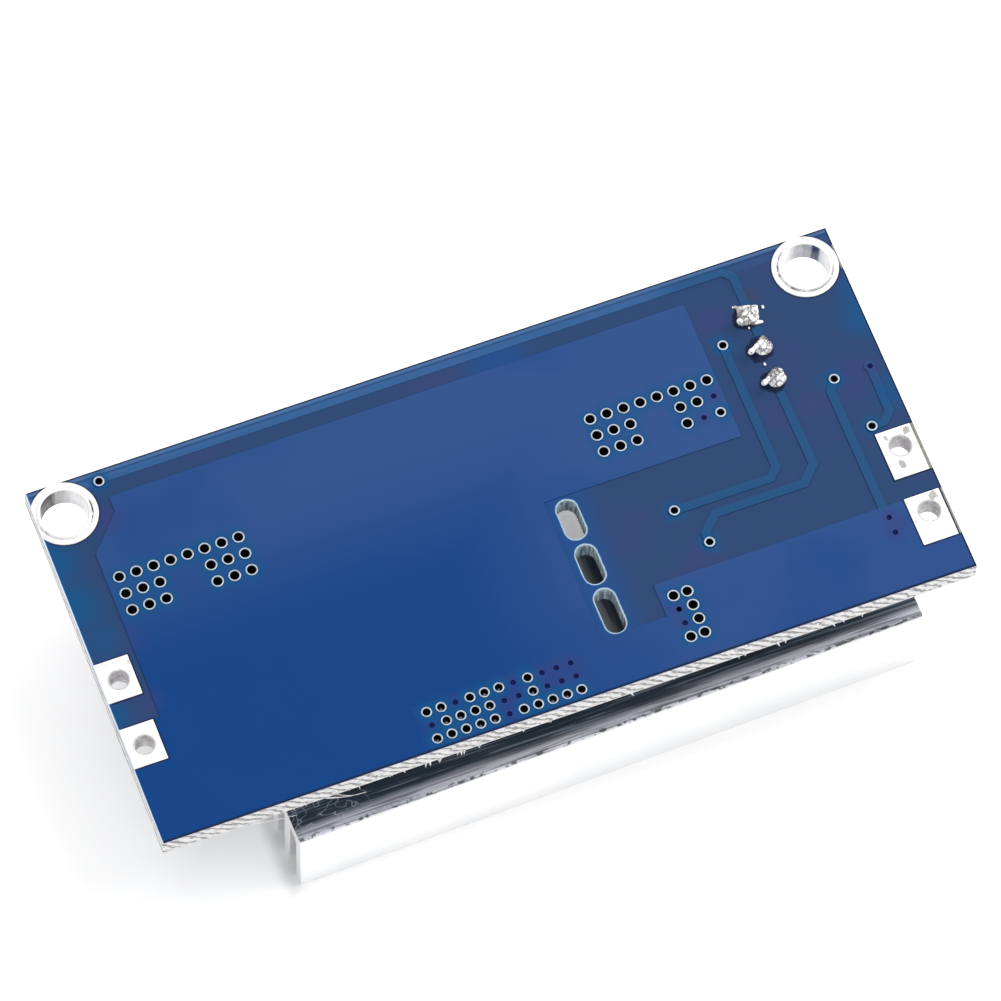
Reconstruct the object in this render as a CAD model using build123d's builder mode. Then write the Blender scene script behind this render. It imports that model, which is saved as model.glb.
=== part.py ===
import os
from math import cos, radians, sin

from build123d import *

os.makedirs("parts", exist_ok=True)

# Adjustable step-up converter module, in millimetres, lying on its heat sink with the solder side up.
# X runs along the board, input end at -X. Z = 0 is the surface that the fins stand on.

# Board
board_length = 57.5
board_width = 27.0
board_thickness = 1.6
copper_thickness = 0.07
plating_thickness = 0.09
drilled_sides = 12

# Stack below the board
package_height = 4.5
thermal_pad_thickness = 0.6
heat_sink_height = 7.0
board_underside = heat_sink_height + thermal_pad_thickness + package_height
board_top = board_underside + board_thickness


# Distances from the edges of the board, made into places
def from_input(distance):
    return distance - board_length / 2


def from_output(distance):
    return board_length / 2 - distance


def from_front(distance):
    return distance - board_width / 2


def from_back(distance):
    return board_width / 2 - distance


# Mounting holes, in the two back corners, each with a flat land and a bead of solder round its rim
mount_hole_diameter = 3.4
input_mount_inset = 2.0
output_mount_inset = 2.4
back_mount_inset = 2.3
mount_land_diameter = 4.6
mount_land_edge_gap = 0.02
mount_bead_diameter = 3.95
mount_bead_height = 0.25
mount_bead_flat = 0.06
mount_points = (
    (from_input(input_mount_inset), from_back(back_mount_inset)),
    (from_output(output_mount_inset), from_back(back_mount_inset)),
)

# Wire pads, two at each end: a back one for the positive wire and a front one for the negative
input_pad_length = 2.4
input_pad_width = 3.0
input_pad_pitch = 4.98
input_pad_inset = 0.05
input_pad_middle_distance = 9.58
input_hole_diameter = 1.5
input_hole_inset = 1.3
input_hole_offset = -0.05
output_pad_length = 2.5
output_pad_width = 3.6
output_pad_pitch = 5.14
output_pad_inset = 0.25
output_pad_middle_distance = 6.95
output_hole_diameter = 1.65
output_hole_inset = 1.45
output_hole_offset = 0.45


# Place and size of one wire pad and its hole, side 1 for the back one and -1 for the front one
def input_pad(name, side):
    y = from_front(input_pad_middle_distance) + side * input_pad_pitch / 2
    return {
        "name": name,
        "centre": (from_input(input_pad_inset + input_pad_length / 2), y),
        "size": (input_pad_length, input_pad_width),
        "hole": (from_input(input_hole_inset), y + input_hole_offset),
        "hole_diameter": input_hole_diameter,
    }


def output_pad(name, side):
    y = from_front(output_pad_middle_distance) + side * output_pad_pitch / 2
    return {
        "name": name,
        "centre": (from_output(output_pad_inset + output_pad_length / 2), y),
        "size": (output_pad_length, output_pad_width),
        "hole": (from_output(output_hole_inset), y + output_hole_offset),
        "hole_diameter": output_hole_diameter,
    }


wire_pads = [
    input_pad("input_positive_pad", 1),
    input_pad("input_negative_pad", -1),
    output_pad("output_positive_pad", 1),
    output_pad("output_negative_pad", -1),
]

# Power packages, lying with the tab on the board and the plastic on the heat sink
package_width = 10.0
package_body_length = 9.0
package_lead_length = 4.4
package_edge_gap = 0.2
package_draft = 0.35
tab_thickness = 1.27
tab_overhang = 1.3
tab_inner_width = 8.4
tab_inner_length = 6.6
lead_pitch = 2.54
lead_width = 0.8
lead_thickness = 0.5
lead_foot_length = 2.2
lead_foot_slant = 0.5
lead_height = 2.4
cut_lead_width = 1.1
cut_lead_length = 1.1
land_thickness = 0.05
transistor_offset = -4.2
rectifier_end_distance = 10.55
lead_front = from_front(package_edge_gap)
body_front = lead_front + package_lead_length
body_back = body_front + package_body_length
body_middle = (body_front + body_back) / 2
tab_back = body_back + tab_overhang
packages = {"transistor": transistor_offset, "rectifier": from_output(rectifier_end_distance)}

# Heat sink: straight fins along its length, stuck on slightly askew
heat_sink_length = 45.0
heat_sink_width = 13.6
heat_sink_offset = 3.0
heat_sink_skew_degrees = 1.14
base_thickness = 1.3
fin_count = 7
fin_thickness = 0.85
base_edge_radius = 0.35
fin_root_chamfer = 0.25
thermal_pad_edge_gap = 0.6

# Electrolytic capacitors
capacitor_diameter = 8.0
capacitor_height = 10.5
capacitor_base_size = 8.3
capacitor_base_height = 1.2
capacitor_corner_size = 2.2
capacitor_lead_width = 0.9
capacitor_lead_thickness = 0.3
capacitor_lead_length = 4.15
capacitor_lead_gap = 1.2
capacitor_crimp_depth = 0.35
capacitor_crimp_width = 1.1
capacitor_crimp_distance = 2.6
input_capacitor_end_distance = 8.05
input_capacitor_back_distance = 6.9
output_capacitor_end_distance = 16.0
output_capacitor_tab_gap = 1.05
input_capacitor = (from_input(input_capacitor_end_distance), from_back(input_capacitor_back_distance))
output_capacitor = (
    from_output(output_capacitor_end_distance),
    tab_back + output_capacitor_tab_gap + capacitor_base_size / 2,
)

# Inductor, close behind the transistor's tab
inductor_size = 11.6
inductor_tab_gap = 0.3
inductor_base_height = 0.8
inductor_shield_height = 7.0
inductor_corner_size = 2.6
drum_flange_diameter = 8.8
drum_flange_thickness = 1.2
drum_post_diameter = 4.4
drum_height = 6.8
drum_clearance = 0.3
winding_diameter = 8.2
winding_clearance = 0.1
winding_sides = 16
terminal_width = 5.0
terminal_thickness = 0.2
terminal_length = 2.4
terminal_height = 2.0
inductor_centre = (transistor_offset, tab_back + inductor_tab_gap + inductor_size / 2)

# Trimmer, close behind the rectifier's tab
trimmer_end_distance = 7.5
trimmer_tab_gap = 0.395
trimmer_pitch = 2.54
trimmer_length = 9.53
trimmer_width = 4.83
trimmer_height = 10.0
trimmer_standoff_height = 0.4
trimmer_foot_size = 0.9
trimmer_potting_thickness = 0.8
trimmer_corner_size = 0.4
trimmer_pin_width = 0.5
trimmer_pin_thickness = 0.3
trimmer_hole_diameter = 0.9
trimmer_x = from_output(trimmer_end_distance)
trimmer_y = tab_back + trimmer_tab_gap + trimmer_length / 2
trimmer_pin_places = [(trimmer_x, trimmer_y + step * trimmer_pitch) for step in (1, 0, -1)]

# Solder joints of the trimmer, and its pins, bent over above them
joint_sides = 10
joint_diameter = 1.75
joint_waist_diameter = 1.15
joint_waist_height = 0.3
joint_tip_diameter = 0.8
joint_height = 0.6
bent_pin_length = 1.2
bent_pin_rise = 0.3

# Adjusting screw of the trimmer
screw_end_distance = 1.6
screw_side_distance = 1.6
screw_head_diameter = 2.2
screw_head_height = 1.5
screw_journal_length = 1.2
screw_collar_diameter = 2.8
screw_collar_thickness = 0.9
screw_clearance = 0.05
screw_slot_width = 0.5
screw_slot_depth = 0.7
screw_slot_degrees = 30

# Controller, with gull-wing leads on two sides
controller_end_distance = 20.15
controller_front_distance = 10.4
controller_size = 3.0
controller_height = 0.95
controller_standoff_height = 0.12
controller_edge_chamfer = 0.12
controller_span_width = 4.9
controller_leads_per_side = 5
controller_pitch = 0.5
controller_lead_width = 0.22
controller_lead_thickness = 0.16
controller_lead_height = 0.57
controller_foot_length = 0.55
controller_at = (from_output(controller_end_distance), from_front(controller_front_distance))

# Chip parts: length, width and height of each size, and the share of the length that each end cap takes
small_chip_size = (1.6, 0.8, 0.8)
flat_chip_size = (1.6, 0.8, 0.45)
medium_chip_size = (3.2, 1.6, 1.3)
large_chip_size = (3.2, 2.5, 1.8)
chip_cap_share = 0.22
capacitor_chips = (
    (medium_chip_size, from_output(21.55), from_front(3.4), 90),
    (medium_chip_size, from_output(17.05), from_front(3.4), 90),
    (large_chip_size, from_input(15.15), from_front(8.3), 90),
    (large_chip_size, from_input(11.55), from_front(8.3), 90),
    (small_chip_size, from_output(21.45), from_front(7.1), 90),
    (small_chip_size, from_output(18.15), from_front(7.6), 0),
)
resistor_chips = (
    (flat_chip_size, from_output(16.8), from_front(12.6), 90),
    (flat_chip_size, from_output(2.85), from_back(6.8), 90),
    (flat_chip_size, from_output(2.85), from_back(8.9), 90),
)

# Three milled slots in one line: the distances of their two ends from the front edge
slot_width = 1.45
slot_end_distance = 24.05
slot_spans = ((11.05, 14.05), (7.55, 10.55), (3.75, 7.1))
slot_x = from_output(slot_end_distance)

# Vias: a letter per column, o for an open hole and t for one that the mask closes
via_hole_diameter = 0.5
via_land_diameter = 0.9
capacitor_via_columns = 8
capacitor_via_pitch = 1.2
capacitor_via_row_pitch = 1.28
capacitor_via_offset = -1.05
input_via_rows = ("oooooooo", "ooo  ooo", "ooo  ooo")
output_via_rows = ("oooooooo", "ooo  oot", "ooo  oto")
transistor_via_pitch = 1.016
transistor_via_offset = -5.09
transistor_via_distance = 2.78
transistor_via_rows = ("ootoootottt", "toooottottt", "oooootooooo")
rectifier_via_pitch = 0.98
rectifier_via_row_pitch = 1.06
rectifier_via_end_distance = 19.73
rectifier_via_distance = 4.97
rectifier_via_rows = ("oo", "to", "to", "oo")


# Places of the open vias of one group, from the first via of its back row
def via_group(x, y, column_pitch, row_pitch, rows):
    return [
        (x + column * column_pitch, y - row * row_pitch)
        for row, letters in enumerate(rows)
        for column, letter in enumerate(letters)
        if letter == "o"
    ]


pour_vias = via_group(
    transistor_offset + transistor_via_offset,
    from_front(transistor_via_distance),
    transistor_via_pitch,
    transistor_via_pitch,
    transistor_via_rows,
)
pour_vias += via_group(
    from_output(rectifier_via_end_distance),
    from_front(rectifier_via_distance),
    rectifier_via_pitch,
    rectifier_via_row_pitch,
    rectifier_via_rows,
)
for (x, y), rows in ((input_capacitor, input_via_rows), (output_capacitor, output_via_rows)):
    first_x = x - (capacitor_via_columns - 1) * capacitor_via_pitch / 2
    first_y = y + capacitor_via_offset
    pour_vias += via_group(first_x, first_y, capacitor_via_pitch, capacitor_via_row_pitch, rows)

# Lone vias at the ends of the traces
feedback_via = (from_output(9.82), from_back(5.9))
controller_via = (from_output(17.38), from_front(10.77))
wiper_via = (from_output(16.03), from_front(7.8))
ground_via = (from_output(3.73), from_front(16.15))
output_via = (from_output(2.67), from_front(12.0))
sense_via = (from_input(4.95), from_back(0.85))
hidden_via = (from_output(1.1), from_front(16.2))
lone_vias = [feedback_via, controller_via, wiper_via, ground_via, output_via, sense_via]

# Copper under the mask of the solder side: a ground pour, the trace that joins it, and lone traces
copper_edge_gap = 0.15
trace_width = 0.62
trace_bend = 0.65
pour_back_distance = 2.13
pour_input_distance = 2.95
pour_output_distance = 11.15
pour_corner_width = 2.25
pour_corner_length = 2.5
pour_corner_height = 1.2
pour_slot_gap = 0.3
keepout_slot_gap = 1.3
keepout_front_gap = 0.05
tongue_end_distance = 20.7
tongue_back_distance = 6.15
ground_trace_distance = 4.28
ground_trace_bend = 0.75
output_trace_distance = 1.15
sense_trace_distance = 0.7
sense_trace_offset = 0.25
wiper_trace_offset = 0.1
wiper_trace_distance = 9.63
wiper_trace_bend = 1.12

pour_left = from_input(pour_input_distance)
pour_back = from_back(pour_back_distance)
pour_right = from_output(pour_output_distance)
pour_step = from_front(slot_spans[0][1] + pour_slot_gap)
pour_shoulder = wire_pads[1]["centre"][1] + input_pad_width / 2
keepout_left = slot_x - keepout_slot_gap
keepout_front = from_front(slot_spans[2][0] - keepout_front_gap)
tongue_left = from_output(tongue_end_distance)
tongue_back = from_front(tongue_back_distance)
pour_outline = (
    (from_input(copper_edge_gap), from_front(copper_edge_gap)),
    (from_output(copper_edge_gap), from_front(copper_edge_gap)),
    (from_output(copper_edge_gap), tongue_back),
    (tongue_left, tongue_back),
    (tongue_left, keepout_front),
    (keepout_left, keepout_front),
    (keepout_left, pour_step),
    (pour_right, pour_step),
    (pour_right, pour_back),
    (pour_left + pour_corner_width, pour_back),
    (pour_left + pour_corner_width, pour_back - pour_corner_height),
    (pour_left, pour_back - pour_corner_height - pour_corner_length),
    (pour_left, pour_shoulder),
    (from_input(copper_edge_gap), pour_shoulder),
)
feedback_trace = (
    feedback_via,
    (feedback_via[0], controller_via[1] + trace_bend),
    (feedback_via[0] - trace_bend, controller_via[1]),
    controller_via,
)
wiper_x = trimmer_x + wiper_trace_offset
wiper_y = from_front(wiper_trace_distance)
wiper_trace = (
    trimmer_pin_places[2],
    (wiper_x, wiper_y + wiper_trace_bend),
    (wiper_x - wiper_trace_bend, wiper_y),
    (wiper_via[0] + wiper_trace_bend, wiper_y),
    (wiper_via[0], wiper_y - wiper_trace_bend),
    wiper_via,
)
ground_trace_x = from_output(ground_trace_distance)
ground_trace = (
    ground_via,
    (ground_trace_x, ground_via[1] - ground_trace_bend),
    (ground_trace_x, tongue_back - trace_width),
)
output_trace_x = from_output(output_trace_distance)
output_trace = (
    hidden_via,
    (output_trace_x, output_via[1] + trace_bend),
    (output_trace_x - trace_bend, output_via[1]),
    output_via,
)
sense_y = from_back(sense_trace_distance)
sense_x = trimmer_x + sense_trace_offset
sense_trace = (
    (sense_via[0], sense_y),
    (sense_x - trace_bend, sense_y),
    (sense_x, sense_y - trace_bend),
    (sense_x, trimmer_pin_places[1][1]),
)


# A plane on the board's underside, its local Z pointing down, away from the board
def below_board(x=0.0, y=0.0, depth=0.0, turn=0.0):
    return Plane(
        origin=(x, y, board_underside - depth),
        x_dir=(cos(radians(turn)), sin(radians(turn)), 0),
        z_dir=(0, 0, -1),
    )


# Vias and pin holes, drawn six-sided because each is under a millimetre across
def cut_small_holes():
    with Locations(*pour_vias, *lone_vias):
        RegularPolygon(via_hole_diameter / 2, 6, mode=Mode.SUBTRACT)
    with Locations(*trimmer_pin_places):
        RegularPolygon(trimmer_hole_diameter / 2, 6, mode=Mode.SUBTRACT)


# Circuit board: drilled and slotted laminate, with the solder side's copper standing out under the mask.
# Where a plated lining hides the drilled wall, the wall is drawn with drilled_sides sides.
with BuildPart() as circuit_board:
    with BuildSketch(Plane.XY.offset(board_underside)):
        Rectangle(board_length, board_width)
        with Locations(*mount_points):
            RegularPolygon(mount_hole_diameter / 2, drilled_sides, mode=Mode.SUBTRACT)
        for pad in wire_pads:
            with Locations(pad["hole"]):
                RegularPolygon(pad["hole_diameter"] / 2, drilled_sides, mode=Mode.SUBTRACT)
        for front, back in slot_spans:
            with Locations((slot_x, from_front((front + back) / 2))):
                SlotOverall(back - front, slot_width, rotation=90, mode=Mode.SUBTRACT)
        cut_small_holes()
    extrude(amount=board_thickness)
    with BuildSketch(Plane.XY.offset(board_top)):
        with BuildLine():
            Polyline(*pour_outline, close=True)
        make_face()
        for path in (feedback_trace, wiper_trace, ground_trace, output_trace, sense_trace):
            with BuildLine():
                Polyline(*path)
            trace(line_width=trace_width)
        with Locations(*lone_vias, hidden_via):
            RegularPolygon(via_land_diameter / 2, 8)
        cut_small_holes()
        for pad in wire_pads:
            with Locations(pad["centre"]):
                Rectangle(*pad["size"], mode=Mode.SUBTRACT)
        with Locations(*trimmer_pin_places):
            RegularPolygon(joint_diameter / 2, joint_sides, mode=Mode.SUBTRACT)
    extrude(amount=copper_thickness)
circuit_board.part.label = "circuit_board"
export_step(circuit_board.part, "parts/circuit_board.step")


# Plated mounting hole: a land on both faces that ends at the board's edge, and a bead round the upper rim
def mounting_land(x, y):
    bore = mount_hole_diameter / 2 - plating_thickness
    land_low = board_underside - plating_thickness
    land_top = board_top + plating_thickness
    bead_top = board_top + mount_bead_height
    with BuildPart() as land:
        for height in (land_low, board_top):
            with BuildSketch(Plane.XY.offset(height)):
                with Locations((x, y)):
                    Circle(mount_land_diameter / 2)
            extrude(amount=plating_thickness)
        with BuildSketch(Plane.XY.offset(board_underside)):
            with Locations((x, y)):
                RegularPolygon(mount_hole_diameter / 2, drilled_sides)
        extrude(amount=board_thickness)
        for height, radius in ((land_top, mount_bead_diameter / 2), (bead_top, bore + mount_bead_flat)):
            with BuildSketch(Plane.XY.offset(height)):
                with Locations((x, y)):
                    Circle(radius)
        loft()
        with BuildSketch(Plane.XY.offset(land_low)):
            Rectangle(board_length - 2 * mount_land_edge_gap, board_width - 2 * mount_land_edge_gap)
        extrude(amount=bead_top - land_low, mode=Mode.INTERSECT)
        with BuildSketch(Plane.XY.offset(land_low)):
            with Locations((x, y)):
                Circle(bore)
        extrude(amount=bead_top - land_low, mode=Mode.SUBTRACT)
    return land.part


for name, (x, y) in zip(("input_mounting_land", "output_mounting_land"), mount_points):
    land = mounting_land(x, y)
    land.label = name
    export_step(land, f"parts/{name}.step")


# Plated wire pad: a rectangular land on both faces, joined by the lining of the hole
def wire_pad(pad):
    bore = pad["hole_diameter"] / 2 - plating_thickness
    with BuildPart() as plating:
        for height in (board_top, board_underside - plating_thickness):
            with BuildSketch(Plane.XY.offset(height)):
                with Locations(pad["centre"]):
                    Rectangle(*pad["size"])
                with Locations(pad["hole"]):
                    Circle(bore, mode=Mode.SUBTRACT)
            extrude(amount=plating_thickness)
        with BuildSketch(Plane.XY.offset(board_underside)):
            with Locations(pad["hole"]):
                RegularPolygon(pad["hole_diameter"] / 2, drilled_sides)
                Circle(bore, mode=Mode.SUBTRACT)
        extrude(amount=board_thickness)
    return plating.part


for pad in wire_pads:
    plating = wire_pad(pad)
    plating.label = pad["name"]
    export_step(plating, f"parts/{pad['name']}.step")

# Heat sink: extruded comb section, its flat face towards the board
skew = radians(heat_sink_skew_degrees)
fin_height = heat_sink_height - base_thickness
fin_pitch = (heat_sink_width - fin_thickness) / (fin_count - 1)
comb_plane = Plane(
    origin=(heat_sink_offset, from_front(heat_sink_width / 2), 0),
    x_dir=(-sin(skew), cos(skew), 0),
    z_dir=(cos(skew), sin(skew), 0),
)
with BuildPart() as heat_sink:
    with BuildSketch(comb_plane) as comb:
        with Locations((0, heat_sink_height - base_thickness / 2)):
            Rectangle(heat_sink_width, base_thickness)
        with Locations((0, fin_height / 2)):
            with GridLocations(fin_pitch, 0, fin_count, 1):
                Rectangle(fin_thickness, fin_height)
    extrude(amount=heat_sink_length / 2, both=True)
    long_edges = heat_sink.edges().filter_by(lambda e: abs(e.length - heat_sink_length) < base_edge_radius)
    roots = long_edges.filter_by(lambda e: abs(e.center().Z - fin_height) < base_edge_radius)
    chamfer(roots, fin_root_chamfer)
    fillet(long_edges.group_by(Axis.Z)[-1], base_edge_radius)
heat_sink.part.label = "heat_sink"
export_step(heat_sink.part, "parts/heat_sink.step")


# Power packages: plastic body moulded round a copper tab, with two formed leads and a cut middle one
def package_body(x):
    parting = board_underside - land_thickness - tab_thickness
    with BuildPart() as body:
        with BuildSketch(Plane.XY.offset(parting)):
            with Locations((x, body_middle)):
                Rectangle(package_width, package_body_length)
        with BuildSketch(Plane.XY.offset(board_underside - package_height)):
            with Locations((x, body_middle)):
                Rectangle(package_width - 2 * package_draft, package_body_length - 2 * package_draft)
        loft()
        with BuildSketch(Plane.XY.offset(parting)):
            with Locations((x, body_middle)):
                Rectangle(package_width, package_body_length)
            with Locations((x, body_back - tab_inner_length / 2)):
                Rectangle(tab_inner_width, tab_inner_length, mode=Mode.SUBTRACT)
        extrude(amount=tab_thickness)
    return body.part


def package_lead_frame(x):
    foot_top = board_underside - land_thickness
    foot_low = foot_top - lead_thickness
    exit_low = board_underside - lead_height
    exit_top = exit_low + lead_thickness
    foot_back = lead_front + lead_foot_length
    with BuildPart() as frame:
        with BuildSketch(Plane.XY.offset(foot_top - tab_thickness)):
            with Locations((x, body_back + tab_overhang / 2)):
                Rectangle(package_width, tab_overhang)
            with Locations((x, body_back - tab_inner_length / 2)):
                Rectangle(tab_inner_width, tab_inner_length)
        extrude(amount=tab_thickness)
        for side in (-1, 1):
            with BuildSketch(Plane.YZ.offset(x + side * lead_pitch - lead_width / 2)):
                with BuildLine():
                    Polyline(
                        (lead_front, foot_top),
                        (foot_back, foot_top),
                        (foot_back + lead_foot_slant, exit_top),
                        (body_front, exit_top),
                        (body_front, exit_low),
                        (foot_back + lead_foot_slant - lead_thickness, exit_low),
                        (foot_back - lead_thickness, foot_low),
                        (lead_front, foot_low),
                        close=True,
                    )
                make_face()
            extrude(amount=lead_width)
        with BuildSketch(Plane.XY.offset(exit_low)):
            with Locations((x, body_front - cut_lead_length / 2)):
                Rectangle(cut_lead_width, cut_lead_length)
        extrude(amount=lead_thickness)
    return frame.part


for name, x in packages.items():
    body = package_body(x)
    body.label = f"{name}_body"
    export_step(body, f"parts/{name}_body.step")
    frame = package_lead_frame(x)
    frame.label = f"{name}_lead_frame"
    export_step(frame, f"parts/{name}_lead_frame.step")

# Thermal pads, pressed between each package and the heat sink
pad_front = body_front + package_draft
pad_back = min(body_back - package_draft, from_front(heat_sink_width - thermal_pad_edge_gap))
for name, x in packages.items():
    with BuildPart() as thermal_pad:
        with BuildSketch(Plane.XY.offset(heat_sink_height)):
            with Locations((x, (pad_front + pad_back) / 2)):
                Rectangle(package_width - 2 * package_draft, pad_back - pad_front)
        extrude(amount=thermal_pad_thickness)
    thermal_pad.part.label = f"{name}_thermal_pad"
    export_step(thermal_pad.part, f"parts/{name}_thermal_pad.step")


# Electrolytic capacitor: plastic base with two cut corners, crimped can, two flat leads in the base's groove
def capacitor_base(x, y):
    with BuildPart() as base:
        with BuildSketch(below_board(x, y)) as outline:
            Rectangle(capacitor_base_size, capacitor_base_size)
            chamfer(outline.vertices().group_by(Axis.Y)[0], capacitor_corner_size)
        extrude(amount=capacitor_base_height)
        with BuildSketch(below_board(x, y)):
            Rectangle(capacitor_lead_width, capacitor_base_size)
        extrude(amount=land_thickness + capacitor_lead_thickness, mode=Mode.SUBTRACT)
    return base.part


def capacitor_can(x, y):
    wall = x + capacitor_diameter / 2
    low = board_underside - capacitor_height
    seat = board_underside - capacitor_base_height
    crimp = board_underside - capacitor_crimp_distance
    with BuildPart() as can:
        with BuildSketch(Plane.XZ.offset(-y)):
            with BuildLine():
                Polyline(
                    (x, low),
                    (wall, low),
                    (wall, crimp - capacitor_crimp_width / 2),
                    (wall - capacitor_crimp_depth, crimp),
                    (wall, crimp + capacitor_crimp_width / 2),
                    (wall, seat),
                    (x, seat),
                    close=True,
                )
            make_face()
        revolve(axis=Axis((x, y, 0), (0, 0, 1)))
    return can.part


def capacitor_leads(x, y):
    with BuildPart() as leads:
        with BuildSketch(below_board(x, y, land_thickness)):
            with GridLocations(0, capacitor_lead_length + capacitor_lead_gap, 1, 2):
                Rectangle(capacitor_lead_width, capacitor_lead_length)
        extrude(amount=capacitor_lead_thickness)
    return leads.part


for name, (x, y) in (("input_capacitor", input_capacitor), ("output_capacitor", output_capacitor)):
    base = capacitor_base(x, y)
    base.label = f"{name}_base"
    export_step(base, f"parts/{name}_base.step")
    can = capacitor_can(x, y)
    can.label = f"{name}_can"
    export_step(can, f"parts/{name}_can.step")
    leads = capacitor_leads(x, y)
    leads.label = f"{name}_leads"
    export_step(leads, f"parts/{name}_leads.step")

# Inductor: plastic base, two wrapped terminals, drum core with its winding, square outer shield
with BuildPart() as inductor_base:
    with BuildSketch(below_board(*inductor_centre, land_thickness + terminal_thickness)) as base_outline:
        Rectangle(inductor_size, inductor_size)
        chamfer(base_outline.vertices(), inductor_corner_size)
    extrude(amount=inductor_base_height - terminal_thickness - land_thickness)
inductor_base.part.label = "inductor_base"
export_step(inductor_base.part, "parts/inductor_base.step")

with BuildPart() as inductor_terminals:
    with BuildSketch(below_board(*inductor_centre, land_thickness)):
        with GridLocations(inductor_size - terminal_length, 0, 2, 1):
            Rectangle(terminal_length, terminal_width)
    extrude(amount=terminal_thickness)
    with BuildSketch(below_board(*inductor_centre, land_thickness)):
        with GridLocations(inductor_size + terminal_thickness, 0, 2, 1):
            Rectangle(terminal_thickness, terminal_width)
    extrude(amount=terminal_height)
inductor_terminals.part.label = "inductor_terminals"
export_step(inductor_terminals.part, "parts/inductor_terminals.step")

drum_depth = inductor_base_height + drum_height
post_depth = inductor_base_height + drum_flange_thickness
post_length = drum_height - 2 * drum_flange_thickness
with BuildPart() as inductor_core:
    with BuildSketch(below_board(*inductor_centre, inductor_base_height)):
        RegularPolygon(drum_flange_diameter / 2, winding_sides)
    extrude(amount=drum_flange_thickness)
    with BuildSketch(below_board(*inductor_centre, post_depth)):
        RegularPolygon(drum_post_diameter / 2, winding_sides)
    extrude(amount=post_length)
    with BuildSketch(below_board(*inductor_centre, drum_depth - drum_flange_thickness)):
        Circle(drum_flange_diameter / 2)
    extrude(amount=drum_flange_thickness)
inductor_core.part.label = "inductor_core"
export_step(inductor_core.part, "parts/inductor_core.step")

with BuildPart() as inductor_winding:
    with BuildSketch(below_board(*inductor_centre, post_depth)):
        RegularPolygon(winding_diameter / 2, winding_sides)
        RegularPolygon(drum_post_diameter / 2 + winding_clearance, winding_sides, mode=Mode.SUBTRACT)
    extrude(amount=post_length)
inductor_winding.part.label = "inductor_winding"
export_step(inductor_winding.part, "parts/inductor_winding.step")

with BuildPart() as inductor_shield:
    with BuildSketch(below_board(*inductor_centre, inductor_base_height)) as shield_outline:
        Rectangle(inductor_size, inductor_size)
        chamfer(shield_outline.vertices(), inductor_corner_size)
        Circle(drum_flange_diameter / 2 + drum_clearance, mode=Mode.SUBTRACT)
    extrude(amount=inductor_shield_height)
inductor_shield.part.label = "inductor_shield"
export_step(inductor_shield.part, "parts/inductor_shield.step")

# Trimmer: moulded case, potted at the pin side, with a stepped bore for the adjusting screw
case_low = board_underside - trimmer_height
potting_top = board_underside - trimmer_standoff_height
case_top = potting_top - trimmer_potting_thickness
screw_x = trimmer_x - trimmer_width / 2 + screw_side_distance
screw_y = trimmer_y + trimmer_length / 2 - screw_end_distance
screw_axis = Axis((screw_x, screw_y, 0), (0, 0, 1))


# Half section of the screw about its axis, or of its bore where a clearance is added all round
def screw_section(clearance, head_low):
    head = screw_x + screw_head_diameter / 2 + clearance
    collar = screw_x + screw_collar_diameter / 2 + clearance
    collar_low = case_low + screw_journal_length - clearance
    collar_top = case_low + screw_journal_length + screw_collar_thickness + clearance
    Polyline(
        (screw_x, head_low),
        (head, head_low),
        (head, collar_low),
        (collar, collar_low),
        (collar, collar_top),
        (screw_x, collar_top),
        close=True,
    )


with BuildPart() as trimmer_case:
    with BuildSketch(Plane.XY.offset(case_low)) as case_outline:
        with Locations((trimmer_x, trimmer_y)):
            Rectangle(trimmer_width, trimmer_length)
        chamfer(case_outline.vertices(), trimmer_corner_size)
    extrude(amount=case_top - case_low)
    with BuildSketch(Plane.XZ.offset(-screw_y)):
        with BuildLine():
            screw_section(screw_clearance, case_low)
        make_face()
    revolve(axis=screw_axis, mode=Mode.SUBTRACT)
trimmer_case.part.label = "trimmer_case"
export_step(trimmer_case.part, "parts/trimmer_case.step")

foot_inset = trimmer_foot_size + 2 * trimmer_corner_size
with BuildPart() as trimmer_potting:
    with BuildSketch(Plane.XY.offset(case_top)) as potting_outline:
        with Locations((trimmer_x, trimmer_y)):
            Rectangle(trimmer_width, trimmer_length)
        chamfer(potting_outline.vertices(), trimmer_corner_size)
        with Locations(*trimmer_pin_places):
            Rectangle(trimmer_pin_width, trimmer_pin_thickness, mode=Mode.SUBTRACT)
    extrude(amount=trimmer_potting_thickness)
    with BuildSketch(Plane.XY.offset(potting_top)):
        with Locations((trimmer_x, trimmer_y)):
            with GridLocations(trimmer_width - foot_inset, trimmer_length - foot_inset, 2, 2):
                Rectangle(trimmer_foot_size, trimmer_foot_size)
    extrude(amount=trimmer_standoff_height)
trimmer_potting.part.label = "trimmer_potting"
export_step(trimmer_potting.part, "parts/trimmer_potting.step")

with BuildPart() as trimmer_screw:
    with BuildSketch(Plane.XZ.offset(-screw_y)):
        with BuildLine():
            screw_section(0, case_low - screw_head_height)
        make_face()
    revolve(axis=screw_axis)
    with BuildSketch(Plane.XY.offset(case_low - screw_head_height)):
        with Locations((screw_x, screw_y)):
            Rectangle(screw_slot_width, 2 * screw_head_diameter, rotation=screw_slot_degrees)
    extrude(amount=screw_slot_depth, mode=Mode.SUBTRACT)
trimmer_screw.part.label = "trimmer_screw"
export_step(trimmer_screw.part, "parts/trimmer_screw.step")

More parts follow.
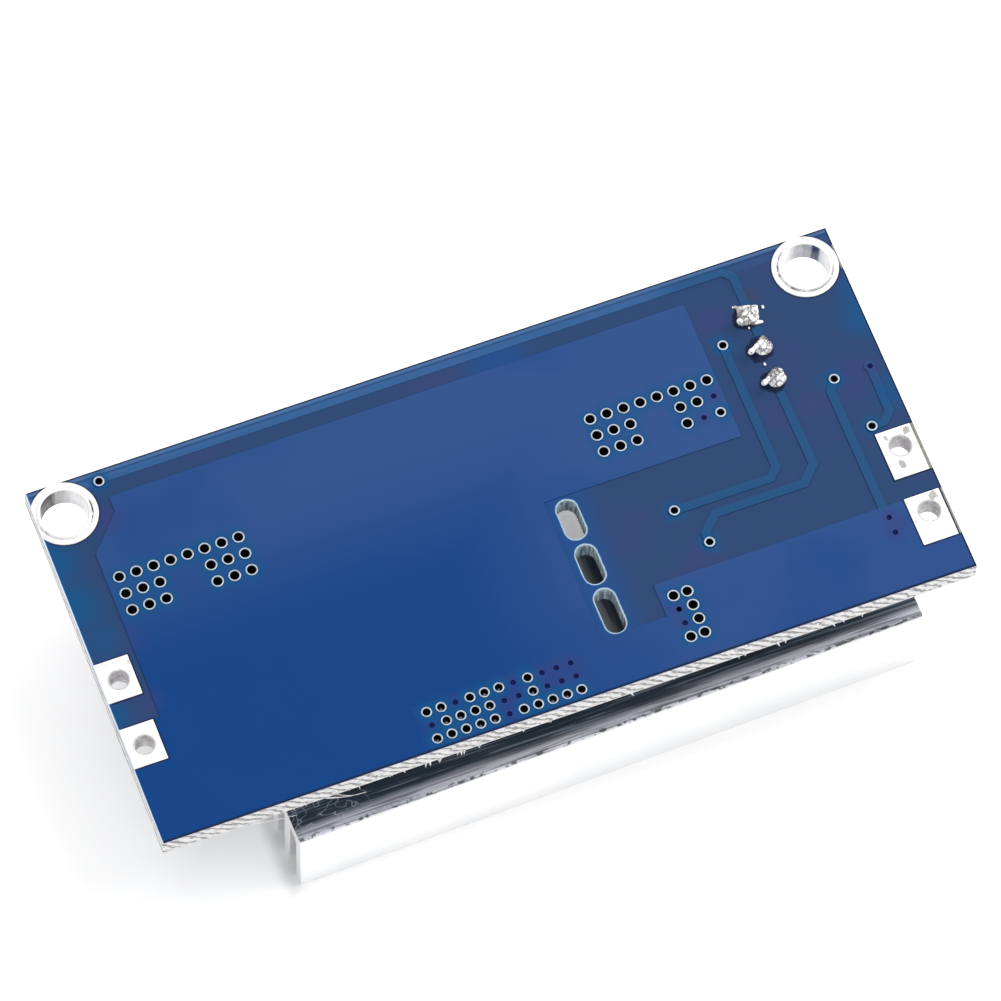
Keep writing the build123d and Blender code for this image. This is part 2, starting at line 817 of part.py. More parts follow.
# Trimmer's pins: straight through the board and the joints, then bent over towards the input end
with BuildPart() as trimmer_pins:
    for x, y in trimmer_pin_places:
        joint_top = board_top + joint_height
        bend_left = x - trimmer_pin_width / 2
        bend_right = x + trimmer_pin_width / 2
        with BuildSketch(Plane.XZ.offset(-y - trimmer_pin_thickness / 2)):
            with BuildLine():
                Polyline(
                    (bend_left, case_top),
                    (bend_right, case_top),
                    (bend_right, joint_top + trimmer_pin_thickness),
                    (x - bent_pin_length, joint_top + trimmer_pin_thickness + bent_pin_rise),
                    (x - bent_pin_length, joint_top + bent_pin_rise),
                    (bend_left, joint_top),
                    close=True,
                )
            make_face()
        extrude(amount=trimmer_pin_thickness)
trimmer_pins.part.label = "trimmer_pins"
export_step(trimmer_pins.part, "parts/trimmer_pins.step")

# Solder joints of the trimmer: a land and a fillet of solder that rises round each pin
with BuildPart() as trimmer_solder_joints:
    land_top = board_top + copper_thickness
    joint_levels = (
        (land_top, joint_diameter),
        (board_top + joint_waist_height, joint_waist_diameter),
        (board_top + joint_height, joint_tip_diameter),
    )
    for place in trimmer_pin_places:
        with BuildSketch(Plane.XY.offset(board_top)):
            with Locations(place):
                RegularPolygon(joint_diameter / 2, joint_sides)
        extrude(amount=copper_thickness)
        for level in joint_levels:
            with BuildSketch(Plane.XY.offset(level[0])):
                with Locations(place):
                    RegularPolygon(level[1] / 2, joint_sides)
        loft(ruled=True)
    with BuildSketch(Plane.XY.offset(board_top)):
        with Locations(*trimmer_pin_places):
            Rectangle(trimmer_pin_width, trimmer_pin_thickness)
    extrude(amount=joint_height, mode=Mode.SUBTRACT)
trimmer_solder_joints.part.label = "trimmer_solder_joints"
export_step(trimmer_solder_joints.part, "parts/trimmer_solder_joints.step")

# Controller
controller_x, controller_y = controller_at
with BuildPart() as controller_body:
    with BuildSketch(below_board(*controller_at, controller_standoff_height)):
        Rectangle(controller_size, controller_size)
    extrude(amount=controller_height - controller_standoff_height)
    chamfer(controller_body.faces().sort_by(Axis.Z)[0].edges(), controller_edge_chamfer)
controller_body.part.label = "controller_body"
export_step(controller_body.part, "parts/controller_body.step")

# Gull-wing leads: out of the body, down and along the land
foot_top = board_underside - land_thickness
foot_low = foot_top - controller_lead_thickness
exit_top = board_underside - controller_lead_height
exit_low = exit_top - controller_lead_thickness
with BuildPart() as controller_leads:
    for side in (-1, 1):
        body_side = controller_x + side * controller_size / 2
        foot_end = controller_x + side * controller_span_width / 2
        foot_start = foot_end - side * controller_foot_length
        knee = foot_start + side * controller_lead_thickness
        for number in range(controller_leads_per_side):
            lead_y = controller_y + (number - (controller_leads_per_side - 1) / 2) * controller_pitch
            with BuildSketch(Plane.XZ.offset(-lead_y - controller_lead_width / 2)):
                with BuildLine():
                    Polyline(
                        (body_side, exit_top),
                        (foot_start, exit_top),
                        (foot_start, foot_top),
                        (foot_end, foot_top),
                        (foot_end, foot_low),
                        (knee, foot_low),
                        (knee, exit_low),
                        (body_side, exit_low),
                        close=True,
                    )
                make_face()
            extrude(amount=controller_lead_width)
controller_leads.part.label = "controller_leads"
export_step(controller_leads.part, "parts/controller_leads.step")

# Chip parts: the middle of each body, and the two metal end caps
for name, chips in (("ceramic_capacitor_chips", capacitor_chips), ("resistor_chips", resistor_chips)):
    with BuildPart() as chip_middles:
        for (length, width, height), x, y, turn in chips:
            with BuildSketch(below_board(x, y, land_thickness, turn)):
                Rectangle(length * (1 - 2 * chip_cap_share), width)
            extrude(amount=height)
    chip_middles.part.label = name
    export_step(chip_middles.part, f"parts/{name}.step")

with BuildPart() as chip_end_caps:
    for (length, width, height), x, y, turn in capacitor_chips + resistor_chips:
        cap_length = length * chip_cap_share
        with BuildSketch(below_board(x, y, land_thickness, turn)):
            with GridLocations(length - cap_length, 0, 2, 1):
                Rectangle(cap_length, width)
        extrude(amount=height)
chip_end_caps.part.label = "chip_end_caps"
export_step(chip_end_caps.part, "parts/chip_end_caps.step")

# Tinned lands on the component side, one under each foot, terminal and end cap
land_margin_length = 0.2
with BuildPart() as component_lands:
    for x in packages.values():
        with BuildSketch(below_board(x, tab_back)):
            with Locations((0, (tab_inner_length + tab_overhang) / 2)):
                Rectangle(tab_inner_width, tab_inner_length + tab_overhang)
        extrude(amount=land_thickness)
        with BuildSketch(below_board(x, lead_front + lead_foot_length / 2)):
            with GridLocations(2 * lead_pitch, 0, 2, 1):
                Rectangle(lead_width + 2 * land_margin_length, lead_foot_length)
        extrude(amount=land_thickness)
    for x, y in (input_capacitor, output_capacitor):
        with BuildSketch(below_board(x, y)):
            with GridLocations(0, capacitor_lead_length + capacitor_lead_gap, 1, 2):
                Rectangle(capacitor_lead_width, capacitor_lead_length)
        extrude(amount=land_thickness)
    with BuildSketch(below_board(*inductor_centre)):
        with GridLocations(inductor_size - terminal_length, 0, 2, 1):
            Rectangle(terminal_length + 2 * terminal_thickness, terminal_width)
    extrude(amount=land_thickness)
    controller_foot_spread = controller_span_width - controller_foot_length
    with BuildSketch(below_board(*controller_at)):
        with GridLocations(controller_foot_spread, controller_pitch, 2, controller_leads_per_side):
            Rectangle(controller_foot_length, controller_lead_width)
    extrude(amount=land_thickness)
    for (length, width, height), x, y, turn in capacitor_chips + resistor_chips:
        cap_length = length * chip_cap_share
        with BuildSketch(below_board(x, y, 0, turn)):
            with GridLocations(length - cap_length, 0, 2, 1):
                Rectangle(cap_length + 2 * land_margin_length, width)
        extrude(amount=land_thickness)
component_lands.part.label = "component_lands"
export_step(component_lands.part, "parts/component_lands.step")
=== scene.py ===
import random
from math import atan2, cos, degrees, hypot, radians, sin

import bpy
from mathutils import Matrix, Vector


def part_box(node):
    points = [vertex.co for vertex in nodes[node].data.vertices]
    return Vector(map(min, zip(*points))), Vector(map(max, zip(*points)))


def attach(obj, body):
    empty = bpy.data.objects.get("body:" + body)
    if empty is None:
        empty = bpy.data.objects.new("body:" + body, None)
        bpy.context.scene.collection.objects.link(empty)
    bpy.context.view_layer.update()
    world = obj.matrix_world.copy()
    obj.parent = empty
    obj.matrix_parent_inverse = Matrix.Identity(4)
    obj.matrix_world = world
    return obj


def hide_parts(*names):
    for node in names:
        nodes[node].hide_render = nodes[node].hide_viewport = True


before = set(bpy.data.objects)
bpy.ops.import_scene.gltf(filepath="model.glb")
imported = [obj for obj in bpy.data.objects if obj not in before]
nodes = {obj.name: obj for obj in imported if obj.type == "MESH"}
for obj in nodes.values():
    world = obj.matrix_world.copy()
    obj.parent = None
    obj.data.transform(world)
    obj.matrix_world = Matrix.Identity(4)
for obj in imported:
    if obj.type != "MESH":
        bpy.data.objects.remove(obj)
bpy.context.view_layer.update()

mm = 0.001
print("frame loaded:", len(nodes), "nodes")


# one output socket that can be added, multiplied and so on
class Signal:
    def __init__(self, paint, socket):
        self.paint = paint
        self.socket = socket

    def __add__(self, other):
        return self.paint.maths("ADD", self, other)

    def __radd__(self, other):
        return self.paint.maths("ADD", other, self)

    def __sub__(self, other):
        return self.paint.maths("SUBTRACT", self, other)

    def __rsub__(self, other):
        return self.paint.maths("SUBTRACT", other, self)

    def __mul__(self, other):
        return self.paint.maths("MULTIPLY", self, other)

    def __rmul__(self, other):
        return self.paint.maths("MULTIPLY", other, self)

    def __abs__(self):
        return self.paint.maths("ABSOLUTE", self)

    def clamp(self):
        return self.paint.out("ShaderNodeClamp", Value=self)

    def step(self, low, high):
        # 0 below low, 1 above high, smooth between
        settings = {"interpolation_type": "SMOOTHSTEP"}
        return self.paint.out("ShaderNodeMapRange", settings, Value=self, From_Min=low, From_Max=high)

    def fade(self, low, high):
        # 1 below low, 0 above high
        return 1 - self.step(low, high)

    def line(self, at, width):
        # 1 where the value passes the level, 0 away from it
        return abs(self - at).fade(0.3 * width, width)


# a material on one Principled shader, or the world on its background; the look holds its named colours
class Paint:
    def __init__(self, name, look=None, kept=bpy.data.materials, shader="Principled BSDF", **constants):
        self.look = look
        self.material = kept.new(name)
        self.material.use_nodes = True
        self.tree = self.material.node_tree
        self.shader = self.tree.nodes[shader]
        for socket, value in constants.items():
            self.shader.inputs[socket.replace("_", " ")].default_value = value
        self.place = Signal(self, self.make("ShaderNodeTexCoord").outputs["Object"])

    def make(self, kind, settings=None, **inputs):
        node = self.tree.nodes.new(kind)
        for key, value in (settings or {}).items():
            setattr(node, key, value)
        for key, value in inputs.items():
            socket = node.inputs[int(key[1:])] if key[1:].isdigit() else node.inputs[key.replace("_", " ")]
            self.feed(socket, value)
        return node

    def feed(self, socket, value):
        if isinstance(value, Signal):
            self.tree.links.new(value.socket, socket)
        elif isinstance(value, tuple) and len(value) == 3 and len(socket.default_value) == 4:
            socket.default_value = (*value, 1)
        else:
            socket.default_value = value

    def out(self, kind, settings=None, output=0, **inputs):
        return Signal(self, self.make(kind, settings, **inputs).outputs[output])

    def maths(self, operation, *values):
        inputs = {f"_{index}": value for index, value in enumerate(values)}
        return self.out("ShaderNodeMath", {"operation": operation}, **inputs)

    def ray(self, kind):
        return Signal(self, self.make("ShaderNodeLightPath").outputs[f"Is {kind} Ray"])

    def axis(self, name):
        return self.out("ShaderNodeSeparateXYZ", output="XYZ".index(name), Vector=self.place)

    def painted(self, name):
        # the channels of a colour painted on the corners
        attribute = self.make("ShaderNodeAttribute", {"attribute_name": name})
        parts = self.make("ShaderNodeSeparateColor")
        self.tree.links.new(attribute.outputs["Color"], parts.inputs[0])
        return [Signal(self, socket) for socket in (*parts.outputs, attribute.outputs["Alpha"])]

    def stretched(self, scale, turn=(0.0, 0.0, 0.0)):
        return self.out("ShaderNodeMapping", Vector=self.place, Scale=scale, Rotation=turn)

    def noise(self, size, detail=3.0, where=None):
        # size is the width of a patch in millimetres
        where = where or self.place
        return self.out("ShaderNodeTexNoise", Vector=where, Scale=1 / (size * mm), Detail=detail)

    def blend(self, factor, first, second):
        # a colour may be given by its name in the look
        first, second = (self.look[tone] if isinstance(tone, str) else tone for tone in (first, second))
        mix = self.make("ShaderNodeMix", {"data_type": "RGBA"}, _0=factor, _6=first, _7=second)
        return Signal(self, mix.outputs[2])

    def cover(self, colour, *layers):
        # each layer is a share and the colour that it lays over what is there
        for share, tone in layers:
            colour = self.blend(share, colour, tone)
        return colour

    def fromDisc(self, centre, radius):
        # how far outside a circle a point lies, seen from above
        across = self.axis("X") - centre[0]
        along = self.axis("Y") - centre[1]
        return self.maths("SQRT", across * across + along * along) - radius

    def fromBox(self, low, high):
        # how far outside a rectangle a point lies, seen from above
        across = abs(self.axis("X") - (low[0] + high[0]) / 2) - (high[0] - low[0]) / 2
        along = abs(self.axis("Y") - (low[1] + high[1]) / 2) - (high[1] - low[1]) / 2
        return self.maths("MAXIMUM", across, along)

    def fromSlot(self, centre, halfLength, radius):
        # how far outside a round-ended slot along Y a point lies
        across = self.axis("X") - centre[0]
        along = self.maths("MAXIMUM", abs(self.axis("Y") - centre[1]) - halfLength, 0)
        return self.maths("SQRT", across * across + along * along) - radius

    def least(self, values):
        result = values[0]
        for value in values[1:]:
            result = self.maths("MINIMUM", result, value)
        return result

    def finish(self, **varying):
        for socket, value in varying.items():
            self.feed(self.shader.inputs[socket.replace("_", " ")], value)
        return self.material

    def surface(self, colour, roughness, height, depth, **varying):
        # depth in millimetres is what a height of 1 stands for in the bump
        normal = self.out("ShaderNodeBump", Height=height, Distance=depth * mm, Strength=1.0)
        return self.finish(Base_Color=colour, Roughness=roughness, Normal=normal, **varying)


def deselect():
    if bpy.context.object and bpy.context.object.mode != "OBJECT":
        bpy.ops.object.mode_set(mode="OBJECT")
    bpy.ops.object.select_all(action="DESELECT")


def pick(piece):
    deselect()
    piece.select_set(True)
    bpy.context.view_layer.objects.active = piece


def editAll(piece):
    pick(piece)
    bpy.ops.object.mode_set(mode="EDIT")
    bpy.ops.mesh.select_all(action="SELECT")


def leaveEdit():
    bpy.ops.object.mode_set(mode="OBJECT")


def modify(piece, kind, **settings):
    # one modifier, applied at once
    pick(piece)
    modifier = piece.modifiers.new("change", kind)
    for key, value in settings.items():
        setattr(modifier, key, value)
    bpy.ops.object.modifier_apply(modifier=modifier.name)


def settle(piece, name):
    # the place goes into the mesh, so that the object sits at the origin
    pick(piece)
    bpy.ops.object.transform_apply(location=True, rotation=True, scale=True)
    piece.name = name
    return piece


def copyOfNode(nodeName, pieceName):
    # a welded copy of a CAD solid, to be bevelled and finished
    piece = nodes[nodeName].copy()
    piece.data = nodes[nodeName].data.copy()
    piece.data.materials.clear()
    piece.parent = None
    for key in list(piece.keys()):
        del piece[key]
    piece.name = pieceName
    bpy.context.scene.collection.objects.link(piece)
    editAll(piece)
    bpy.ops.mesh.remove_doubles(threshold=0.002 * mm)
    bpy.ops.mesh.dissolve_limited(angle_limit=radians(1))
    leaveEdit()
    return piece


def smooth(piece, angle=40):
    # smooth shading that leaves the large faces flat
    pick(piece)
    bpy.ops.object.shade_smooth_by_angle(angle=radians(angle))
    modify(piece, "WEIGHTED_NORMAL", keep_sharp=True)


def soften(piece, width, segments=3):
    modify(piece, "BEVEL", width=width * mm, segments=segments, limit_method="ANGLE", angle_limit=radians(30))
    smooth(piece)
    return piece


def cut(piece, cutter):
    modify(piece, "BOOLEAN", operation="DIFFERENCE", solver="EXACT", object=cutter)
    bpy.data.objects.remove(cutter)


def joined(pieces, name):
    deselect()
    for piece in pieces:
        piece.select_set(True)
    bpy.context.view_layer.objects.active = pieces[0]
    bpy.ops.object.join()
    return settle(bpy.context.object, name)


def turned(name, centre, rings, sides):
    # ring by ring, as on a lathe: rings are (radius, height) in millimetres
    x, y = centre
    radius, height = rings[0]
    deselect()
    bpy.ops.mesh.primitive_circle_add(vertices=sides, radius=radius * mm, location=(x, y, height * mm))
    editAll(bpy.context.object)
    for (lastRadius, lastHeight), (radius, height) in zip(rings, rings[1:]):
        rise = (0, 0, (height - lastHeight) * mm)
        bpy.ops.mesh.extrude_region_move(TRANSFORM_OT_translate={"value": rise})
        share = radius / lastRadius
        bpy.ops.transform.resize(value=(share, share, 1), center_override=(x, y, height * mm))
    bpy.ops.mesh.select_all(action="SELECT")
    bpy.ops.mesh.remove_doubles(threshold=0.001 * mm)
    bpy.ops.mesh.normals_make_consistent(inside=False)
    leaveEdit()
    return settle(bpy.context.object, name)


def copies(model, places):
    made = []
    for x, y in places:
        piece = model.copy()
        piece.data = model.data.copy()
        piece.location = (x, y, 0)
        bpy.context.scene.collection.objects.link(piece)
        made.append(piece)
    bpy.data.objects.remove(model)
    return made


def holeOutlines(nodeName, height):
    # round holes in a node's lower face: the centre and the mean radius of each
    mesh = nodes[nodeName].data
    key = lambda v: (round(v.x * 1e6), round(v.y * 1e6))
    sides = set()
    for polygon in mesh.polygons:
        if polygon.normal.z > -0.9 or abs(polygon.center.z - height) > 0.01 * mm:
            continue
        corners = [key(mesh.vertices[i].co) for i in polygon.vertices]
        sides.update(zip(corners, corners[1:] + corners[:1]))
    following = {start: end for start, end in sorted(sides) if (end, start) not in sides}
    found = []
    while following:
        corner = next(iter(following))
        outline = []
        while corner in following:
            outline.append(corner)
            corner = following.pop(corner)
        x, y = (sum(places) / len(outline) for places in zip(*outline))
        radius = sum(hypot(atX - x, atY - y) for atX, atY in outline) / len(outline)
        found.append((x * 1e-6, y * 1e-6, radius * 1e-6))
    return sorted(found)


def dress(piece, material, *replaced, slot, body="module"):
    # no material is given where the faces already have theirs
    if material:
        piece.data.materials.clear()
        piece.data.materials.append(paints[material])
    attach(piece, body)
    if replaced:
        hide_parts(*replaced)
    return piece


# heights and places taken from the CAD
boardLow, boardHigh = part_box("circuit_board")
boardUnder = boardLow.z
reliefTop = boardHigh.z
boardTop = boardUnder + 1.6 * mm
padNames = [f"{side}_{pole}_pad" for side in ("input", "output") for pole in ("positive", "negative")]
ringNames = ["input_mounting_land", "output_mounting_land"]
holes = holeOutlines("circuit_board", boardUnder)
vias = [(x, y) for x, y, radius in holes if radius < 0.3 * mm]
pinHoles = sorted([(x, y) for x, y, radius in holes if 0.3 * mm < radius < 0.5 * mm], key=lambda p: -p[1])
ringHoles = [(x, y) for x, y, radius in holes if radius > 1.4 * mm and y > 8 * mm]
print("board from", round(boardUnder / mm, 3), "to", round(reliefTop / mm, 3), "open vias:", len(vias),
      "pin holes:", len(pinHoles), "mounting holes:", len(ringHoles))

# the milled slots: x of all, and the y of each end, in millimetres
slotShape = {"x": 4.7, "width": 1.45, "ends": [(-2.45, 0.55), (-5.95, -2.95), (-9.75, -6.4)]}

maskLook = {
    "copper": (0.001, 0.046, 0.208), "copperSheen": (0.026, 0.075, 0.236),
    "copperCloud": (0.001, 0.052, 0.215), "trace": (0.012, 0.073, 0.185),
    "slopeHighlight": (0.03, 0.1, 0.262), "foot": (0.006, 0.034, 0.125),
    "bare": (0.02, 0.055, 0.152), "bareNear": (0.012, 0.064, 0.222),
    "bareViolet": (0.038, 0.048, 0.165), "backRim": (0.036, 0.112, 0.29),
    "teal": (0.001, 0.076, 0.222), "purple": (0.036, 0.041, 0.18),
    "flux": (0.004, 0.009, 0.03), "outline": (0.004, 0.008, 0.035),
    "rust": (0.055, 0.046, 0.095), "backLine": (0.075, 0.16, 0.33),
    "leftLine": (0.62, 0.78, 0.96), "slotRim": (0.46, 0.64, 0.76),
}
# where marks on the mask start and end in millimetres, a groove's place and width, a stain's place,
# and the shift and reach of the painted shadow round the pins
maskShape = {"rearBand": (12.4, 12.52), "rearEnd": (15, 18.5), "rearGroove": (13.06, 0.09),
             "backLine": (13.14, 13.24), "rustAt": (22.15, 10.55), "flux": (0.12, 0.82)}


def maskPaint():
    # the tints painted on the corners: red is teal haze, green purple haze, blue nearness to the slots,
    # and alpha is trace
    paint = Paint("blueMask", maskLook, Specular_IOR_Level=0.1)
    teal, purple, nearSlots, trace = paint.painted("haze")
    x, y, height = (paint.axis(name) for name in "XYZ")
    raised = height.step(boardTop + 0.045 * mm, reliefTop - 0.012 * mm)
    slope = height.step(boardTop + 0.006 * mm, boardTop + 0.03 * mm) * (1 - raised)
    cloud = paint.noise(11, 2)
    wash = paint.noise(5, 2, where=paint.stretched((0.6, 1.2, 1.0), (0, 0, 0.9)))
    combed = paint.noise(0.22, where=paint.stretched((0.03, 1.0, 1.0)))
    wobble = paint.noise(0.5, 2) - 0.5
    grain = paint.noise(0.35)
    # painted sheen: the copper under the mask grows lighter towards the right and the back
    sheenToBack = paint.maths("MAXIMUM", x.step(-6 * mm, 9 * mm), y.step(-3 * mm, 9 * mm))
    sheenToBack = sheenToBack * (0.7 + 0.3 * y.step(-9.5 * mm, -6 * mm))
    copper = paint.cover(
        "copper",
        (sheenToBack, "copperSheen"),
        (cloud.step(0.45, 0.7) * 0.5, "copperCloud"),
        (trace * 0.9, "trace"),
    )
    bare = paint.cover(
        "bare",
        (wash.step(0.52, 0.75) * 0.5, "bareViolet"),
        (nearSlots, "bareNear"),
    )

    places = {name: [part * mm for part in parts] for name, parts in maskShape.items()}
    rear = y.step(*places["rearBand"]) * (1 - 0.75 * x.step(*places["rearEnd"]))
    fromRust = paint.fromDisc(places["rustAt"], 0) + 0.5 * mm * (wash - 0.5)
    shift, reach = places["flux"]
    fromPins = paint.least([paint.fromDisc((pinX - shift, pinY - shift), reach) for pinX, pinY in pinHoles])
    lands = [paint.fromDisc(hole, 2.28 * mm) for hole in ringHoles]
    lands += [paint.fromBox(*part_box(nodeName)) for nodeName in padNames]
    fromLands = paint.least(lands) + 0.06 * mm * wobble
    leftEdge = boardLow[0]
    fromLeft = x.step(leftEdge + 0.15 * mm, leftEdge + 0.5 * mm)
    fromEdges = paint.fromBox((leftEdge - 1 * mm, boardLow[1]), boardHigh)  # all but the left one
    radius = slotShape["width"] / 2
    slotX = slotShape["x"] * mm
    fromSlots = paint.least([
        paint.fromSlot((slotX, (low + high) / 2 * mm), ((high - low) / 2 - radius) * mm, radius * mm)
        for low, high in slotShape["ends"]
    ])
    colour = paint.cover(
        paint.blend(raised, bare, copper),
        # painted highlight on the slopes of the pours
        (slope * (1 - trace) * 0.35, "slopeHighlight"),
        # painted shade on the slopes of the traces
        (slope * trace * 0.85, "foot"),
        (rear * (0.35 + 0.9 * combed), "backRim"),
        (y.line(*places["rearGroove"]) * 0.5, "foot"),
        (y.step(*places["backLine"]) * 0.7, "backLine"),
        (purple, "purple"),
        (teal, "teal"),
        (fromRust.fade(0.15 * mm, 0.9 * mm) * 0.45, "rust"),
        # painted contact shadow round the pins, shifted to the lower left
        ((fromPins + 0.6 * mm * wobble).fade(0.0, 0.16 * mm) * 0.92, "flux"),
        (fromLands.fade(0.05 * mm, 0.15 * mm) * fromLeft * 0.9, "outline"),
        (fromEdges.step(-0.15 * mm, -0.08 * mm) * 0.85, "outline"),
        (x.fade(leftEdge + 0.06 * mm, leftEdge + 0.13 * mm), "leftLine"),
        ((fromSlots + 0.1 * mm * wobble).fade(0.03 * mm, 0.12 * mm) * 0.9, "slotRim"),
    )
    return paint.surface(colour, 0.4 + 0.12 * wash, grain + 1.2 * wash, 0.003)


edgeLook = {"bright": (0.92, 0.91, 0.91), "dark": (0.15, 0.15, 0.16), "grey": (0.42, 0.41, 0.43),
            "upper": (0.5, 0.48, 0.62), "lean": 48, "spacing": 0.6}


def edgePaint():
    # cut edge of the laminate: slanting bundles of glass, lilac under the upper rim,
    # white and ragged at the lower one
    paint = Paint("laminateEdge", edgeLook, Specular_IOR_Level=0.4)
    leaning = paint.stretched((1.0, 0.25, 1.0), (0, radians(edgeLook["lean"]), 0))
    bundles = paint.out("ShaderNodeTexWave", {"bands_direction": "X"}, output=1, Vector=leaning,
                        Scale=0.314 / (edgeLook["spacing"] * mm), Distortion=5.0, Detail=3.0,
                        Detail_Scale=1.6, Detail_Roughness=0.6)
    fibre = paint.noise(0.11, where=paint.out("ShaderNodeMapping", Vector=leaning, Scale=(1.0, 1.0, 0.22)))
    grit = paint.noise(0.16)
    dark = (bundles + 1.3 * (fibre - 0.5)).step(0.62, 0.98)
    height = paint.axis("Z") + 0.3 * mm * (grit - 0.5)
    colour = paint.cover(
        "bright",
        (fibre.step(0.48, 0.66) * 0.55, "grey"),
        (dark * 0.75, "dark"),
        (height.step(boardTop - 0.25 * mm, boardTop + 0.02 * mm) * 0.65, "upper"),
        (height.fade(boardUnder + 0.05 * mm, boardUnder + 0.22 * mm) * 0.8, "bright"),
    )
    return paint.surface(colour, 0.4 + 0.3 * grit, (1 - dark) + 0.6 * fibre + 0.4 * grit, 0.07)


slotLook = {"pale": (0.55, 0.65, 0.7), "dark": (0.16, 0.22, 0.26), "rim": (0.8, 0.92, 1.0)}


def slotPaint():
    # milled wall: pale blue-grey with upright tool marks, rougher and brighter at the rim
    paint = Paint("milledWall", slotLook, Specular_IOR_Level=0.5)
    grit = paint.noise(0.14)
    marks = paint.noise(0.2, where=paint.stretched((1.0, 1.0, 0.12)))
    rim = (paint.axis("Z") + 0.5 * mm * (marks - 0.5)).step(boardTop - 0.22 * mm, boardTop - 0.02 * mm)
    colour = paint.cover(
        "pale",
        (marks.step(0.38, 0.62), "dark"),
        (rim * grit.step(0.34, 0.46), "rim"),
    )
    return paint.surface(colour, 0.4 + 0.3 * grit, marks + grit, 0.05)


landLook = {
    "white": (0.93, 0.93, 0.92), "cloud": (0.78, 0.78, 0.79), "scuff": (0.4, 0.4, 0.4),
    "smudge": (0.2, 0.18, 0.15), "brim": (0.3, 0.28, 0.27),
    # x, y and radius of the smudges on the output lands, in millimetres
    "smudges": [(26.58, -2.62, 0.24), (28.02, -2.58, 0.2), (26.95, -4.86, 0.28), (26.46, -7.9, 0.16),
                (28.0, -7.72, 0.22), (27.18, -9.67, 0.1)],
}


def landPaint():
    # flat tinned land: nearly white, with grey scuffs and brown-grey smudges
    paint = Paint("landTin", landLook, Metallic=0.25)
    cloud = paint.noise(1.6)
    scuff = paint.noise(0.45, 4, where=paint.stretched((1.0, 0.4, 1.0), (0, 0, 0.6)))
    pits = paint.noise(0.12, 2)
    places = [paint.fromDisc((x * mm, y * mm), radius * mm) for x, y, radius in landLook["smudges"]]
    smudge = (paint.least(places) + 1.1 * mm * (scuff - 0.5)).fade(-0.06 * mm, 0.06 * mm)
    brims = []
    for nodeName in padNames:
        holeX, holeY, bore = min(holeOutlines(nodeName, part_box(nodeName)[0].z), key=lambda hole: hole[2])
        brims.append(abs(paint.fromDisc((holeX, holeY), bore + 0.05 * mm)))
    colour = paint.cover(
        "white",
        (cloud.step(0.5, 0.72), "cloud"),
        (scuff.step(0.66, 0.74) * 0.6, "scuff"),
        (smudge * (0.45 + 0.5 * pits), "smudge"),
        (paint.least(brims).fade(0.02 * mm, 0.05 * mm) * 0.75, "brim"),
    )
    return paint.surface(colour, 0.3 + 0.2 * pits, cloud + 0.3 * scuff + 0.1 * pits, 0.012)


boreLook = {"bright": (0.96, 0.95, 0.96), "streak": (0.7, 0.68, 0.72), "brown": (0.1, 0.097, 0.094),
            "blue": (0.035, 0.055, 0.11), "groove": (0.15, 0.12, 0.11)}


def borePaint():
    # plated wall of a mounting hole, with the tarnish painted on it, and the dull groove at the bead's foot
    paint = Paint("boreTin", boreLook, Metallic=0.35)
    tarnish, groove, blue, _ = paint.painted("tarnish")
    streak = paint.noise(0.16, where=paint.stretched((1.0, 1.0, 0.1)))
    spots = paint.noise(0.5)
    dull = groove * (0.3 + 1.2 * spots.step(0.46, 0.55))
    colour = paint.cover(
        "bright",
        (streak.step(0.5, 0.7) * 0.4, "streak"),
        ((tarnish * (0.65 + 0.7 * streak)).clamp(), paint.blend(blue, "brown", "blue")),
        (dull.clamp(), "groove"),
    )
    return paint.surface(colour, 0.28 + 0.2 * streak, streak, 0.02)


solderLook = {"pale": (0.96, 0.955, 0.95), "grey": (0.46, 0.44, 0.44), "fleck": (0.14, 0.12, 0.11),
              "darkReflection": (0.17, 0.14, 0.13), "creaseShade": (0.03, 0.03, 0.03)}


def solderPaint():
    # crumpled solder: pale grey with dark flecks, painted shade in its creases and painted dark reflections
    # in blotches
    paint = Paint("crumpledSolder", solderLook, Metallic=0.15)
    lump = paint.noise(0.5)
    # painted shade in thin creases
    creaseShade = paint.noise(0.6, 2).line(0.47, 0.034)
    fleck = paint.noise(0.16)
    # painted dark reflections in broad patches
    darkReflection = paint.noise(0.75, 1).step(0.54, 0.6)
    colour = paint.cover(
        "pale",
        (lump.step(0.46, 0.68), "grey"),
        (fleck.step(0.6, 0.68) * 0.8, "fleck"),
        (darkReflection * 0.65, "darkReflection"),
        (creaseShade * 0.8, "creaseShade"),
    )
    return paint.surface(colour, 0.28 + 0.2 * fleck, lump + 0.5 * fleck - 0.7 * creaseShade, 0.07)


finLook = {
    "middle": (3.0, -6.7), "skew": 1.14, "front": -6.8, "top": 7.0,
    "metal": (0.93, 0.93, 0.935), "mottle": (0.89, 0.9, 0.915), "drawn": (0.76, 0.77, 0.8),
    "band": (0.84, 0.85, 0.92), "shade": (0.045, 0.068, 0.095), "darkStreak": (0.02, 0.03, 0.045),
    "paleStreak": (0.42, 0.48, 0.56), "curl": (0.62, 0.66, 0.72), "nick": (0.02, 0.02, 0.03),
    "underSlotLight": (0.9, 0.97, 1.0), "underSlotShade": (0.06, 0.095, 0.125),
}


